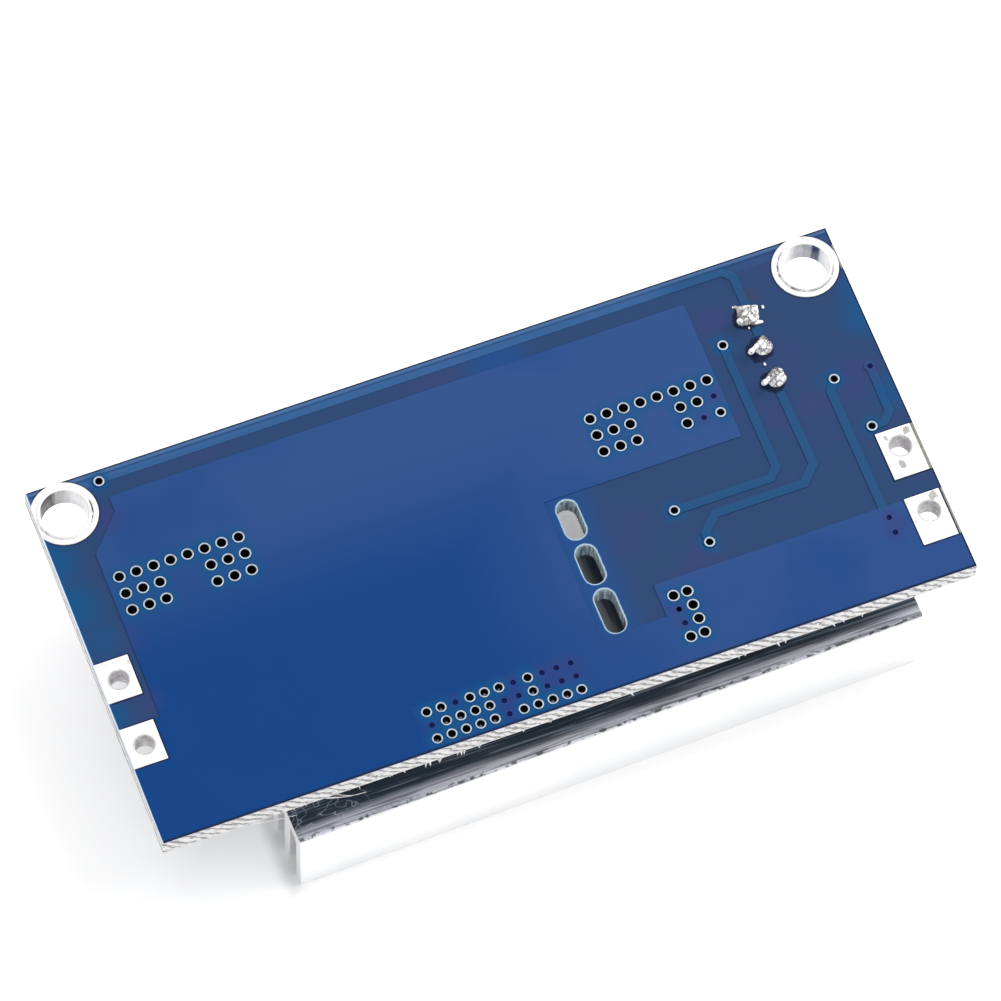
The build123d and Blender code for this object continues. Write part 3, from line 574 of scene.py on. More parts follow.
def finPaint():
    # bright drawn aluminium; beside the board its face is streaked and darkened by painted shade,
    # standing for the board's shadow and reflection, with a pale, nicked band at the edge
    paint = Paint("extrudedAluminium", finLook, Specular_IOR_Level=0.5)
    turn = radians(finLook["skew"])
    along = paint.axis("X")
    across = paint.axis("Y") * cos(turn) - along * sin(turn)
    middleX, middleY = finLook["middle"]
    fromFront = across - (middleY * cos(turn) - middleX * sin(turn) + finLook["front"]) * mm
    drawnAt = paint.stretched((0.025, 1.0, 1.0), (0, 0, -turn))
    drawn = paint.noise(0.16, where=drawnAt)
    broad = paint.noise(0.7, 2, where=drawnAt)
    drawnUp = paint.noise(0.25, 2, where=paint.stretched((1.0, 0.1, 1.0)))
    mottle = paint.noise(6)
    scuff = paint.noise(0.3, 4, where=paint.stretched((0.6, 1.0, 1.0), (0, 0, 0.7)))
    upper = paint.axis("Z").step((finLook["top"] - 0.12) * mm, (finLook["top"] - 0.03) * mm)
    curls = paint.noise(0.8, 1).line(0.5, 0.022) * along.fade(-16 * mm, -13 * mm)
    nicks = scuff.step(0.51, 0.57) * fromFront.fade(0.2 * mm, 0.55 * mm)
    # painted light and shade on the top seen through the slots: light to the left, shade to the right
    underSlotShade = (along + 0.9 * mm * (drawnUp - 0.5)).step(4.9 * mm, 6.2 * mm)
    nearSlots = abs(along - 5.5 * mm).fade(2.0 * mm, 2.6 * mm)
    tone = paint.cover(
        "metal",
        (mottle.step(0.35, 0.7), "mottle"),
        (drawn.step(0.55, 0.8) * 0.3, "drawn"),
    )
    deep = paint.blend(nearSlots, tone, paint.blend(underSlotShade, "underSlotLight", "underSlotShade"))
    strip = paint.cover(
        "band",
        # painted shade and reflection of the board, darker away from the front edge
        ((fromFront + 1.1 * mm * (broad - 0.5)).step(0.5 * mm, 1.35 * mm), "shade"),
        (drawn.step(0.5, 0.6) * 0.6, "darkStreak"),
        (drawn.fade(0.36, 0.44) * 0.5, "paleStreak"),
        (curls * 0.7, "curl"),
        (nicks * 0.85, "nick"),
        (fromFront.step(3.4 * mm, 4.6 * mm), deep),
    )
    colour = paint.blend(upper, tone, strip)
    height = drawn + 0.5 * broad + 0.6 * nicks * upper
    return paint.surface(colour, 0.32 + 0.2 * drawn + 0.2 * upper, height, 0.012, Metallic=0.8 - 0.6 * upper)


def plainPaint(name, tone, other, patch, rough, depth=0.01, metal=0.0, shine=0.5):
    paint = Paint(name, Metallic=metal, Specular_IOR_Level=shine)
    wave = paint.noise(patch, 4)
    fine = paint.noise(patch * 0.15)
    colour = paint.blend(wave.step(0.3, 0.7), tone, other)
    return paint.surface(colour, rough + 0.15 * fine, wave * 0.4 + fine, depth)


def tinPaint(name, tone, patch, rough, depth, metal, dim=0.82):
    # the darker patches are the tone times dim
    paint = Paint(name, Metallic=metal)
    wave = paint.noise(patch)
    fine = paint.noise(patch * 0.18)
    colour = paint.blend(wave.step(0.42, 0.7), tone, tuple(part * dim for part in tone))
    return paint.surface(colour, rough + 0.16 * fine, wave + 0.25 * fine, depth)


# two tones, patch size in millimetres, roughness, and where they differ the bump's depth, metal and shine
plainLooks = {
    "padBore": ((0.86, 0.84, 0.86), (0.5, 0.48, 0.5), 0.35, 0.35, 0.02, 0.15),
    "viaHalo": ((0.001, 0.022, 0.075), (0.002, 0.035, 0.095), 0.4, 0.4, 0.004, 0, 0.1),
    "sunkMask": ((0.002, 0.004, 0.05), (0.003, 0.01, 0.085), 0.3, 0.5, 0.004, 0, 0.08),
    "viaShade": ((0.002, 0.003, 0.005), (0.004, 0.005, 0.008), 0.3, 0.6, 0.004, 0, 0.1),
    "bareLaminate": ((0.3, 0.29, 0.25), (0.2, 0.2, 0.17), 0.35, 0.55, 0.02),
    "blackMoulding": ((0.018, 0.018, 0.02), (0.03, 0.03, 0.032), 1.2, 0.5),
    "greyPad": ((0.36, 0.38, 0.4), (0.3, 0.32, 0.35), 0.8, 0.7, 0.02),
    "drawnCan": ((0.78, 0.78, 0.8), (0.7, 0.7, 0.73), 2.0, 0.28, 0.006, 0.9),
    "blackSeat": ((0.02, 0.02, 0.022), (0.035, 0.035, 0.036), 1.0, 0.45),
    "ferrite": ((0.045, 0.046, 0.05), (0.08, 0.08, 0.085), 0.35, 0.6, 0.02),
    "enamelWire": ((0.42, 0.15, 0.05), (0.3, 0.09, 0.03), 0.6, 0.3, 0.01, 0.6),
    "tanCeramic": ((0.42, 0.3, 0.18), (0.36, 0.25, 0.15), 0.5, 0.5),
    "blackGlaze": ((0.02, 0.02, 0.022), (0.03, 0.03, 0.034), 0.4, 0.25, 0.004),
    "trimmerBlue": ((0.02, 0.11, 0.42), (0.02, 0.09, 0.36), 1.5, 0.35),
    "potting": ((0.26, 0.3, 0.36), (0.2, 0.24, 0.3), 0.9, 0.4, 0.03),
    "brass": ((0.72, 0.52, 0.18), (0.62, 0.42, 0.14), 0.6, 0.25, 0.006, 0.95),
}
# tone, patch size in millimetres, roughness, bump's depth, metal and dim
tinLooks = {
    "pinTin": ((0.96, 0.96, 0.95), 0.4, 0.18, 0.02, 0.5),
    "ringTin": ((0.5, 0.57, 0.66), 0.3, 0.35, 0.006, 0.3, 0.72),
    "viaSolder": ((0.22, 0.24, 0.3), 0.2, 0.3, 0.008, 0.6),
    "frameTin": ((0.5, 0.5, 0.42), 0.9, 0.4, 0.006, 0.2, 0.5),
    "leadTin": ((0.78, 0.78, 0.78), 0.8, 0.3, 0.006, 0.85),
}
paints = {"mask": maskPaint(), "edge": edgePaint(), "slotWall": slotPaint(), "landTin": landPaint(),
          "boreTin": borePaint(), "solder": solderPaint(), "fins": finPaint()}
for name, look in plainLooks.items():
    paints[name] = plainPaint(name, *look)
for name, look in tinLooks.items():
    paints[name] = tinPaint(name, *look)
print("materials ready")

boardShape = {"softness": 0.06, "grid": 0.45, "dimple": 0.19, "dimpleDepth": 0.09,
              "drillSides": 20, "drillSpare": 0.02}
viaShapes = {
    "large": {"bore": 0.315, "rim": 0.42},
    "small": {"bore": 0.265, "rim": 0.365},
    "lone": {"bore": 0.25, "rim": 0.37},
}

# groups of vias: the first via of the back row and the two pitches in millimetres, and a letter for each
# via, t where the mask closes it and g where solder glints inside
viaGroups = [
    {"first": (8.55, 5.55), "pitch": (1.2, 1.28), "rows": ("........", ".......t", "......t.")},
    {"first": (9.02, -8.53), "pitch": (0.98, 1.06), "rows": ("..", "t.", "t.", "..")},
    {"first": (-9.29, -10.72), "pitch": (1.016, 1.016),
     "rows": (".gt.ggt.ttt", "tggggttgttt", "g..ggt..gg.")},
]
closedVias = [(27.65 * mm, 2.7 * mm), (24.6 * mm, -8.2 * mm), (24.58 * mm, -9.36 * mm)]
glints = []
for group in viaGroups:
    for row, letters in enumerate(group["rows"]):
        for column, letter in enumerate(letters):
            x = (group["first"][0] + column * group["pitch"][0]) * mm
            y = (group["first"][1] - row * group["pitch"][1]) * mm
            if letter == "t":
                closedVias.append((x, y))
            if letter == "g":
                glints.append((x, y))


def nearest(x, y, places):
    return min(hypot(x - placeX, y - placeY) for placeX, placeY in places) / mm


# the vias of the field at the front are smaller, and those that stand alone have their own size
frontField = [(x, y) for x, y in vias if y < -10.2 * mm and x < 3 * mm]
loneVias = [via for via in vias if nearest(*via, [other for other in vias if other != via]) > 1.5]
groupVias = [via for via in vias if via not in frontField and via not in loneVias]
viaKinds = {"large": groupVias, "small": frontField, "lone": loneVias}


def roundCutters(radius, depth, places, height):
    deselect()
    sides = boardShape["drillSides"]
    bpy.ops.mesh.primitive_cylinder_add(vertices=sides, radius=radius * mm, depth=depth * mm,
                                        location=(0, 0, height))
    return joined(copies(settle(bpy.context.object, "cutter"), places), "cutters")


board = copyOfNode("circuit_board", "maskedBoard")
for kind, places in viaKinds.items():
    cut(board, roundCutters(viaShapes[kind]["bore"] + boardShape["drillSpare"], 4, places, boardTop))
cut(board, roundCutters(boardShape["dimple"], 2 * boardShape["dimpleDepth"], closedVias, reliefTop))
soften(board, boardShape["softness"])
bpy.ops.mesh.customdata_custom_splitnormals_clear()


def gridFaces(piece, spacing):
    # more corners on the large faces, so that the tints painted on them stay fine
    editAll(piece)
    for axis, normal in ((0, (1, 0, 0)), (1, (0, 1, 0))):
        at = boardLow[axis] + spacing * mm
        while at < boardHigh[axis] - 0.1 * mm:
            bpy.ops.mesh.select_all(action="SELECT")
            bpy.ops.mesh.bisect(plane_co=[at * part for part in normal], plane_no=normal)
            at += spacing * mm
    leaveEdit()


def fall(distance, start, end):
    # 1 up to the start, 0 past the end, smooth between
    share = min(1.0, max(0.0, (end - distance) / (end - start)))
    return share * share * (3 - 2 * share)


# clouds of tint on the mask: x, y and reach in millimetres, and strength
tintSpots = {
    "teal": [
        (-28.8, 8.0, 2.6, 0.9), (-28.8, 4.5, 3.0, 0.9), (-27.6, 1.6, 2.2, 0.5), (-28.6, -3.9, 1.6, 0.8),
        (28.6, 6.5, 2.4, 0.7), (29.0, 8.6, 1.8, 0.8), (24.6, 2.6, 1.2, 0.5), (28.4, 0.6, 2.0, 0.6),
    ],
    "purple": [
        (-24.3, 9.8, 1.7, 0.5), (-25.9, 1.0, 1.6, 0.3), (-25.9, -3.6, 1.3, 0.4), (19.0, 9.6, 1.3, 0.3),
        (26.4, 2.2, 2.6, 0.4), (28.0, 9.8, 1.1, 0.9), (22.4, 5.0, 3.0, 0.25), (24.9, -8.8, 1.0, 0.5),
        (-7.6, -13.2, 1.2, 0.5),
    ],
}
# copper pours: low x, high x, low y and high y in millimetres; what is raised outside them is a trace
pours = [(-30, 17.7, 0.8, 12.0), (-30, 3.45, -14, 12.0), (-30, 30, -14, -9.75), (8.0, 30, -14, -7.3)]


def tintAt(x, y, spots):
    return max(strength * fall(hypot(x - spotX, y - spotY), 0.2 * reach, reach)
               for spotX, spotY, reach, strength in spots)


def tint(piece):
    # teal round the open vias, purple round the closed ones, the bare laminate at the slots, and the traces
    haze = piece.data.color_attributes.new("haze", "FLOAT_COLOR", "POINT")
    for vertex, value in zip(piece.data.vertices, haze.data):
        place = vertex.co
        if place.z < boardUnder + 1.2 * mm:
            value.color = (0, 0, 0, 0)
            continue
        x, y = place.x / mm, place.y / mm
        toVia = nearest(place.x, place.y, vias)
        toClosed = nearest(place.x, place.y, closedVias)
        teal = max(0.8 * fall(toVia, 0.45, 1.0), tintAt(x, y, tintSpots["teal"]))
        purple = 0.5 * fall(toClosed, 0.2, 0.95) * fall(-toVia, -0.9, -0.45)
        purple = max(purple, tintAt(x, y, tintSpots["purple"]))
        nearSlots = fall(abs(x - 4.2), 0.9, 3.0)
        inPour = any(lowX < x < highX and lowY < y < highY for lowX, highX, lowY, highY in pours)
        value.color = (teal, purple, nearSlots, 0.0 if inPour else 1.0)


def giveMaterials(piece, *names):
    for name in names:
        piece.data.materials.append(paints[name])


gridFaces(board, boardShape["grid"])
giveMaterials(board, "mask", "edge", "slotWall", "viaShade")
rimWidth = 0.05 * mm
slotReach = (slotShape["width"] / 2 + 0.075) * mm
slotsFrom = (slotShape["ends"][-1][0] - 0.15) * mm
slotsTo = (slotShape["ends"][0][1] + 0.15) * mm
for polygon in board.data.polygons:
    x, y, z = polygon.center
    level = abs(polygon.normal.z)  # 1 on a level face, 0 on a wall
    outside = abs(x) > boardHigh.x - rimWidth or abs(y) > boardHigh.y - rimWidth
    inSlot = abs(x - slotShape["x"] * mm) < slotReach and slotsFrom < y < slotsTo
    if z < boardTop - 0.03 * mm and level < 0.5:
        polygon.material_index = 1 if outside else 2
        if nearest(x, y, vias + pinHoles) < 0.5:
            polygon.material_index = 3
    elif inSlot and level < 0.97:
        polygon.material_index = 2
    else:
        polygon.material_index = 0
tint(board)
pick(board)
bpy.ops.object.shade_smooth_by_angle(angle=radians(40))
for polygon in board.data.polygons:
    if abs(polygon.normal.z) > 0.999:
        polygon.use_smooth = False
dress(board, None, "circuit_board", slot="laminate")
print("board:", len(board.data.polygons), "faces")

top = reliefTop / mm
under = boardUnder / mm
base = boardTop / mm


def ringsFor(shape, places, name):
    # a thin bright lip round each bore, with a dark line of sunk mask round it
    bore, rim = shape["bore"], shape["rim"]
    wall = bore + 0.018
    profile = [
        (wall, under + 0.02), (wall, top - 0.04), (rim + 0.045, top + 0.002), (rim + 0.04, top + 0.005),
        (rim, top + 0.006), (rim - 0.015, top + 0.018), (rim - 0.05, top + 0.022), (bore + 0.02, top + 0.016),
        (bore, top - 0.02), (bore, under + 0.02), (wall, under + 0.02),
    ]
    rings = joined(copies(turned("ringModel", (0, 0), profile, 20), places), name)
    giveMaterials(rings, "ringTin", "viaShade", "viaHalo")
    for polygon in rings.data.polygons:
        x, y, z = polygon.center
        if abs(polygon.normal.z) < 0.3 and z < reliefTop - 0.02 * mm:
            polygon.material_index = 1
        elif nearest(x, y, places) > rim - 0.005:
            polygon.material_index = 2
    smooth(rings, 50)
    dress(rings, None, slot="tin")


def turnedSet(name, profile, places, material, slot):
    # one small turned shape in each place; the profile is (radius, height below the relief)
    rings = [(radius, top - depth) for radius, depth in profile]
    pieces = joined(copies(turned("model", (0, 0), rings, 14), places), name)
    smooth(pieces, 60)
    dress(pieces, material, slot=slot)


dishProfile = [(0.215, 0.004), (0.19, 0.012), (0.16, 0.05), (0.11, 0.078), (0.05, 0.085), (0.001, 0.085),
               (0.05, 0.1), (0.205, 0.09), (0.215, 0.004)]
domeProfile = [(0.2, 0.62), (0.2, 0.52), (0.15, 0.42), (0.08, 0.37), (0.001, 0.36), (0.001, 0.62),
               (0.2, 0.62)]
for kind, places in viaKinds.items():
    ringsFor(viaShapes[kind], places, kind + "Rings")
turnedSet("closedViaDishes", dishProfile, closedVias, "sunkMask", "laminate")
turnedSet("solderInVias", domeProfile, glints, "viaSolder", "solder")
print("vias modelled")

# the bead is (distance outside the bore, height above the laminate); the groove runs round its foot
landShape = {"bore": 1.61, "rim": 2.3, "foot": 1.88, "groove": 0.03, "face": 0.09, "wall": 0.09, "sides": 96,
             "bead": [(0, 0.14), (0.03, 0.21), (0.1, 0.248), (0.18, 0.235), (0.26, 0.16)]}
tarnishes = {
    # which way the tarnish on the bore faces, how wide it is, and whether it is blue
    "input_mounting_land": [(122, 16, 44, 0), (95, 8, 50, 0.2)],
    "output_mounting_land": [(42, 7, 15, 1), (76, 12, 38, 0.2)],
}
# dull marks in the groove: bearing, where the mark starts to fade, where it ends, and its strength
grooveMarks = {
    "input_mounting_land": [(-12, 14, 36, 1.0), (-136, 10, 40, 0.5)],
    "output_mounting_land": [(175, 50, 90, 0.6), (-75, 40, 90, 0.45), (-150, 10, 30, 0.7)],
}


def bearingFall(bearing, middle, inner, outer):
    # 1 near the middle bearing, 0 past the outer angle, in degrees
    return fall(abs((bearing - middle + 180) % 360 - 180), inner, outer)


def stainLand(piece, nodeName, centre):
    # the tarnish of the bore and of the groove, painted on the corners
    bore, foot = landShape["bore"], landShape["foot"]
    tarnish = piece.data.color_attributes.new("tarnish", "FLOAT_COLOR", "POINT")
    for vertex, value in zip(piece.data.vertices, tarnish.data):
        across, along = vertex.co.x - centre[0], vertex.co.y - centre[1]
        radius = hypot(across, along) / mm
        bearing = degrees(atan2(along, across))
        dark = blue = inGroove = 0.0
        if radius < bore + 0.05:
            for middle, inner, outer, blueness in tarnishes[nodeName]:
                part = bearingFall(bearing, middle, inner, outer) * (1.0 if blueness in (0, 1) else 0.45)
                if part > dark:
                    dark, blue = part, blueness
        if foot - 0.03 < radius < foot + 0.06 and vertex.co.z > boardTop:
            inGroove = max([0.08] + [strength * bearingFall(bearing, middle, inner, outer)
                                     for middle, inner, outer, strength in grooveMarks[nodeName]])
        value.color = (dark, inGroove, blue, 0.0)


def mountingLand(name, nodeName, centre):
    low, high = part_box(nodeName)
    lowest = low.z / mm
    bore, rim, foot, groove = (landShape[key] for key in ("bore", "rim", "foot", "groove"))
    face = base + landShape["face"]
    wall = bore + landShape["wall"]
    rings = [(bore, lowest + 0.03)] + [(bore + out, base + rise) for out, rise in landShape["bead"]] + [
        (foot - 0.05, face - 0.005), (foot - 0.01, face - groove), (foot + 0.04, face - groove),
        (foot + 0.08, face - 0.005), (foot + 0.13, face), (rim - 0.05, face), (rim - 0.01, face - 0.02),
        (rim, face - 0.05), (rim, base), (wall, base), (wall, under), (rim, under), (rim, lowest + 0.03),
        (rim - 0.03, lowest), (bore + 0.03, lowest), (bore, lowest + 0.03),
    ]
    piece = turned(name, centre, rings, landShape["sides"])
    edgeX, way = (low.x, -1) if nodeName.startswith("input") else (high.x, 1)
    for planePoint, planeNormal in (((edgeX, 0, 0), (way, 0, 0)), ((0, high.y, 0), (0, 1, 0))):
        editAll(piece)
        bpy.ops.mesh.bisect(plane_co=planePoint, plane_no=planeNormal, clear_outer=True, use_fill=True,
                            threshold=0.001 * mm)
        leaveEdit()
    smooth(piece, 50)
    giveMaterials(piece, "landTin", "boreTin")
    stainLand(piece, nodeName, centre)
    for polygon in piece.data.polygons:
        radius = nearest(polygon.center.x, polygon.center.y, [centre])
        inGroove = foot - 0.06 < radius < foot + 0.09 and polygon.center.z > boardTop
        polygon.material_index = 1 if radius < bore + 0.02 or inGroove else 0
    dress(piece, None, nodeName, slot="solder")


for name, nodeName, centre in zip(("inputRing", "outputRing"), ringNames, ringHoles):
    mountingLand(name, nodeName, centre)

for nodeName in padNames:
    side, pole = nodeName.split("_")[:2]
    pad = copyOfNode(nodeName, side + pole.capitalize() + "Land")
    soften(pad, 0.05)
    low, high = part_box(nodeName)
    margin = 0.1 * mm
    giveMaterials(pad, "landTin", "padBore")
    for polygon in pad.data.polygons:
        x, y, z = polygon.center
        inside = low.x + margin < x < high.x - margin and low.y + margin < y < high.y - margin
        polygon.material_index = 1 if inside and abs(polygon.normal.z) < 0.97 else 0
    dress(pad, None, nodeName, slot="solder")
print("lands modelled")

# each joint is a few lumps, (x, y, height, and radius along x, along y and upwards), fused and crumpled.
# The bright cut end of its pin stands out at one side; its last value is a turn in degrees.
jointShape = {
    "voxel": 0.045, "relax": 6, "crumple": 0.11, "crumpleSize": 0.24, "sunk": 0.05,
    "lumps": [
        [(0.1, 0.02, 0.18, 0.54, 0.52, 0.3), (0.36, 0.2, 0.24, 0.26, 0.3, 0.22),
         (-0.34, -0.22, 0.2, 0.36, 0.32, 0.2), (0.05, 0.48, 0.12, 0.4, 0.24, 0.16),
         (-0.48, 0.86, 0.02, 0.14, 0.16, 0.07), (0.8, -0.76, 0.02, 0.16, 0.13, 0.07)],
        [(0.18, -0.05, 0.0, 0.66, 0.6, 0.22), (0.36, 0.36, 0.06, 0.3, 0.4, 0.26),
         (0.48, -0.12, 0.14, 0.34, 0.38, 0.3), (0.14, 0.0, 0.22, 0.48, 0.42, 0.34),
         (-0.34, -0.1, 0.18, 0.34, 0.24, 0.22)],
        [(0.12, -0.02, 0.0, 0.7, 0.62, 0.24), (0.28, 0.22, 0.18, 0.48, 0.46, 0.38),
         (0.0, 0.0, 0.26, 0.44, 0.38, 0.3), (-0.42, -0.06, 0.18, 0.36, 0.22, 0.22)],
    ],
    "plate": (1.46, 1.46, 0.3), "plateTurn": -16, "plateShift": (0.1, 0.0), "bends": (40, 29, 25),
    "pins": [(-0.79, -0.66, 1.03, 0.24, 0.23, 0.16, 0), (-0.9, -0.5, 1.03, 0.28, 0.22, 0.16, 29),
             (-0.93, -0.43, 1.03, 0.28, 0.22, 0.16, 25)],
}


def ball(name, place, radii, turn=0.0, finish=3):
    deselect()
    bpy.ops.mesh.primitive_ico_sphere_add(subdivisions=finish, radius=1.0)
    piece = bpy.context.object
    piece.scale = [radius * mm for radius in radii]
    piece.rotation_euler = (0, 0, radians(turn))
    piece.location = place
    bpy.ops.object.shade_smooth()
    return settle(piece, name)


def squarePlate(x, y, height):
    deselect()
    shiftX, shiftY = jointShape["plateShift"]
    bpy.ops.mesh.primitive_cube_add(size=1, location=(x + shiftX * mm, y + shiftY * mm, height))
    piece = bpy.context.object
    piece.scale = [size * mm for size in jointShape["plate"]]
    piece.rotation_euler = (0, 0, radians(jointShape["plateTurn"]))
    return settle(piece, "plate")


def lumpyJoint(name, place, lumps, squareLand):
    x, y = place
    height = boardTop + jointShape["sunk"] * mm
    made = [ball("lump", (x + lumpX * mm, y + lumpY * mm, height + lumpZ * mm), radii, finish=4)
            for lumpX, lumpY, lumpZ, *radii in lumps]
    if squareLand:
        made.append(squarePlate(x, y, height))
    piece = joined(made, name)
    grain = bpy.data.textures.new("crumple", "CLOUDS")
    grain.noise_scale = jointShape["crumpleSize"] * mm
    grain.noise_depth = 1
    modify(piece, "REMESH", mode="VOXEL", voxel_size=jointShape["voxel"] * mm)
    modify(piece, "SMOOTH", iterations=jointShape["relax"])
    crumple = jointShape["crumple"] * mm
    modify(piece, "DISPLACE", texture=grain, texture_coords="LOCAL", strength=crumple, mid_level=0.5)
    editAll(piece)
    bpy.ops.mesh.bisect(plane_co=(0, 0, boardTop), plane_no=(0, 0, 1), clear_inner=True, use_fill=True)
    leaveEdit()
    bpy.ops.object.shade_smooth()
    return piece


jointPieces = [lumpyJoint(f"joint{index}", place, lumps, index == 0)
               for index, (place, lumps) in enumerate(zip(pinHoles, jointShape["lumps"]))]
dress(joined(jointPieces, "trimmerJoints"), "solder", "trimmer_solder_joints", slot="solder")
pinEnds = [ball("pinEnd", (pinX + x * mm, pinY + y * mm, boardTop + z * mm), radii, turn)
           for (pinX, pinY), (x, y, z, *radii, turn) in zip(pinHoles, jointShape["pins"])]
dress(joined(pinEnds, "cutPinEnds"), "pinTin", slot="tin")

# stray beads of solder on the mask: x, y and radius in millimetres
strays = [(20.62, 10.02, 0.08), (22.52, 9.34, 0.14), (21.05, 5.28, 0.12), (21.07, 8.2, 0.09)]
beads = [ball("bead", (x * mm, y * mm, boardTop + 0.6 * size * mm), (0.8 * size, 1.15 * size, 0.8 * size))
         for x, y, size in strays]
dress(joined(beads, "straySolder"), "pinTin", slot="solder")
print("solder joints modelled")

# bare laminate beside the output lands
stripShape = {"outside": 28.75, "ringInside": 28.6, "ringSpan": 1.9, "depth": 0.3,
              "sunk": 0.1, "softness": 0.05}


def bareStrip(nodeName):
    low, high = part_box(nodeName)
    isPad = "pad" in nodeName
    inner = high.x if isPad else stripShape["ringInside"] * mm
    outer = stripShape["outside"] * mm
    span = high.y - low.y if isPad else stripShape["ringSpan"] * mm
    deselect()
    centre = ((inner + outer) / 2, (low.y + high.y) / 2, boardTop - stripShape["sunk"] * mm)
    bpy.ops.mesh.primitive_cube_add(size=1, location=centre)
    strip = bpy.context.object
    strip.scale = (outer - inner, span, stripShape["depth"] * mm)
    return soften(settle(strip, "strip"), stripShape["softness"], 2)


strips = [bareStrip(name) for name in ("output_positive_pad", "output_negative_pad", "output_mounting_land")]
dress(joined(strips, "bareEdgeStrips"), "bareLaminate", slot="laminate")

# torn glass that hangs from the front rim of the board: short burrs, and long curled whiskers,
# which are (x, length, sag, width)
burrShape = {"seed": 4, "count": 30, "length": (0.12, 0.3), "width": (0.04, 0.11), "inset": 0.03,
             "outward": 52, "tufts": (-10.4, -10.1, -9.4, -7.9, -7.7, 4.2, 14.6), "tuftLength": 0.36,
             "whiskerSteps": 9,
             "whiskers": [(-17.4, 2.7, 0.4, 0.055), (-22.8, 3.2, 0.16, 0.045), (-16.6, 1.3, 0.3, 0.04)]}


def burr(x, length, width, lean):
    deselect()
    bpy.ops.mesh.primitive_cone_add(vertices=5, radius1=width * mm, radius2=0.004 * mm, depth=length * mm)
    piece = bpy.context.object
    outward = radians(burrShape["outward"])
    piece.rotation_euler = (radians(180) - outward, 0, radians(lean))
    piece.location = (x * mm, boardLow.y + (burrShape["inset"] - 0.4 * length * sin(outward)) * mm,
                      boardUnder + (0.06 - 0.4 * length * cos(outward)) * mm)
    return settle(piece, "burr")


def whisker(x, length, sag, width):
    # a thin curled strip: a row of rings, each narrower than the last
    deselect()
    bpy.ops.mesh.primitive_circle_add(vertices=6, radius=width * mm, rotation=(0, radians(90), 0),
                                      location=(x * mm, boardLow.y - 0.02 * mm, boardUnder + 0.02 * mm))
    piece = bpy.context.object
    editAll(piece)
    steps = burrShape["whiskerSteps"]
    for index in range(steps):
        drop = -2.2 * sag / steps * cos(radians(150 * index / (steps - 1)))
        move = (length / steps * mm, -0.05 * mm, drop * mm)
        bpy.ops.mesh.extrude_region_move(TRANSFORM_OT_translate={"value": move})
        bpy.ops.transform.resize(value=(1, 0.88, 0.88))
    bpy.ops.mesh.select_all(action="SELECT")
    bpy.ops.mesh.fill_holes(sides=0)
    bpy.ops.mesh.normals_make_consistent(inside=False)
    leaveEdit()
    return settle(piece, "whisker")


chance = random.Random(burrShape["seed"])
lengths, widths = burrShape["length"], burrShape["width"]
burrs = [
    burr(chance.uniform(-28, 24), chance.uniform(*lengths), chance.uniform(*widths), chance.uniform(-35, 35))
    for _ in range(burrShape["count"])
]
burrs += [burr(x, burrShape["tuftLength"], widths[1], chance.uniform(-40, 40)) for x in burrShape["tufts"]]
burrs += [whisker(*sizes) for sizes in burrShape["whiskers"]]
dress(joined(burrs, "tornGlass"), "edge", slot="laminate")
print("edge details modelled")

# everything else keeps its CAD shape: the piece, the softness of its edges in millimetres, material and slot
finished = {
    "heat_sink": ("coolingFins", 0.1, "fins", "fins"),
    "inductor_base": ("inductorSeat", 0.08, "blackSeat", "seat"),
    "inductor_shield": ("inductorShell", 0.2, "ferrite", "ferrite"),
    "inductor_core": ("inductorDrum", 0.1, "ferrite", "ferrite"),
    "inductor_winding": ("inductorWire", 0.1, "enamelWire", "winding"),
    "inductor_terminals": ("inductorFeet", 0.06, "leadTin", "tin"),
    "trimmer_case": ("trimmerShell", 0.14, "trimmerBlue", "trimmer_shell"),
    "trimmer_potting": ("trimmerPotting", 0.06, "potting", "potting"),
    "trimmer_pins": ("trimmerPinsBent", 0.05, "solder", "tin"),
    "trimmer_screw": ("trimmerScrewHead", 0.05, "brass", "brass"),
    "controller_body": ("controllerMoulding", 0.04, "blackMoulding", "moulding"),
    "controller_leads": ("controllerFeet", 0.03, "leadTin", "tin"),
    "ceramic_capacitor_chips": ("chipCeramics", 0.06, "tanCeramic", "ceramic"),
    "resistor_chips": ("chipResistors", 0.04, "blackGlaze", "resistor"),
    "chip_end_caps": ("chipCaps", 0.05, "leadTin", "tin"),
    "component_lands": ("componentLands", 0.015, "solder", "solder"),
}
for part in ("transistor", "rectifier"):
    finished[part + "_body"] = (part + "Moulding", 0.12, "blackMoulding", "moulding")
    finished[part + "_lead_frame"] = (part + "Frame", 0.06, "frameTin", "tin")
    finished[part + "_thermal_pad"] = (part + "Pad", 0.12, "greyPad", "pad")
for side in ("input", "output"):
    finished[side + "_capacitor_can"] = (side + "Can", 0.22, "drawnCan", "can")
    finished[side + "_capacitor_base"] = (side + "Seat", 0.12, "blackSeat", "seat")
    finished[side + "_capacitor_leads"] = (side + "CanLeads", 0.05, "leadTin", "tin")


def turnBends(piece):
    # the bent pin ends point towards the front left; without a window the operator turns clockwise
    for (holeX, holeY), turn in zip(pinHoles, jointShape["bends"]):
        editAll(piece)
        bpy.ops.mesh.select_all(action="DESELECT")
        leaveEdit()
        for vertex in piece.data.vertices:
            vertex.select = vertex.co.z > boardTop + 0.2 * mm and abs(vertex.co.y - holeY) < 1 * mm
        bpy.ops.object.mode_set(mode="EDIT")
        middle = (holeX, holeY, boardTop)
        bpy.ops.transform.rotate(value=-radians(turn), orient_axis="Z", center_override=middle)
        leaveEdit()


for nodeName, (name, softness, material, slot) in finished.items():
    piece = soften(copyOfNode(nodeName, name), softness)
    if nodeName == "trimmer_pins":
        turnBends(piece)
    dress(piece, material, nodeName, slot=slot, body="adjuster" if nodeName == "trimmer_screw" else "module")
print("component side finished")
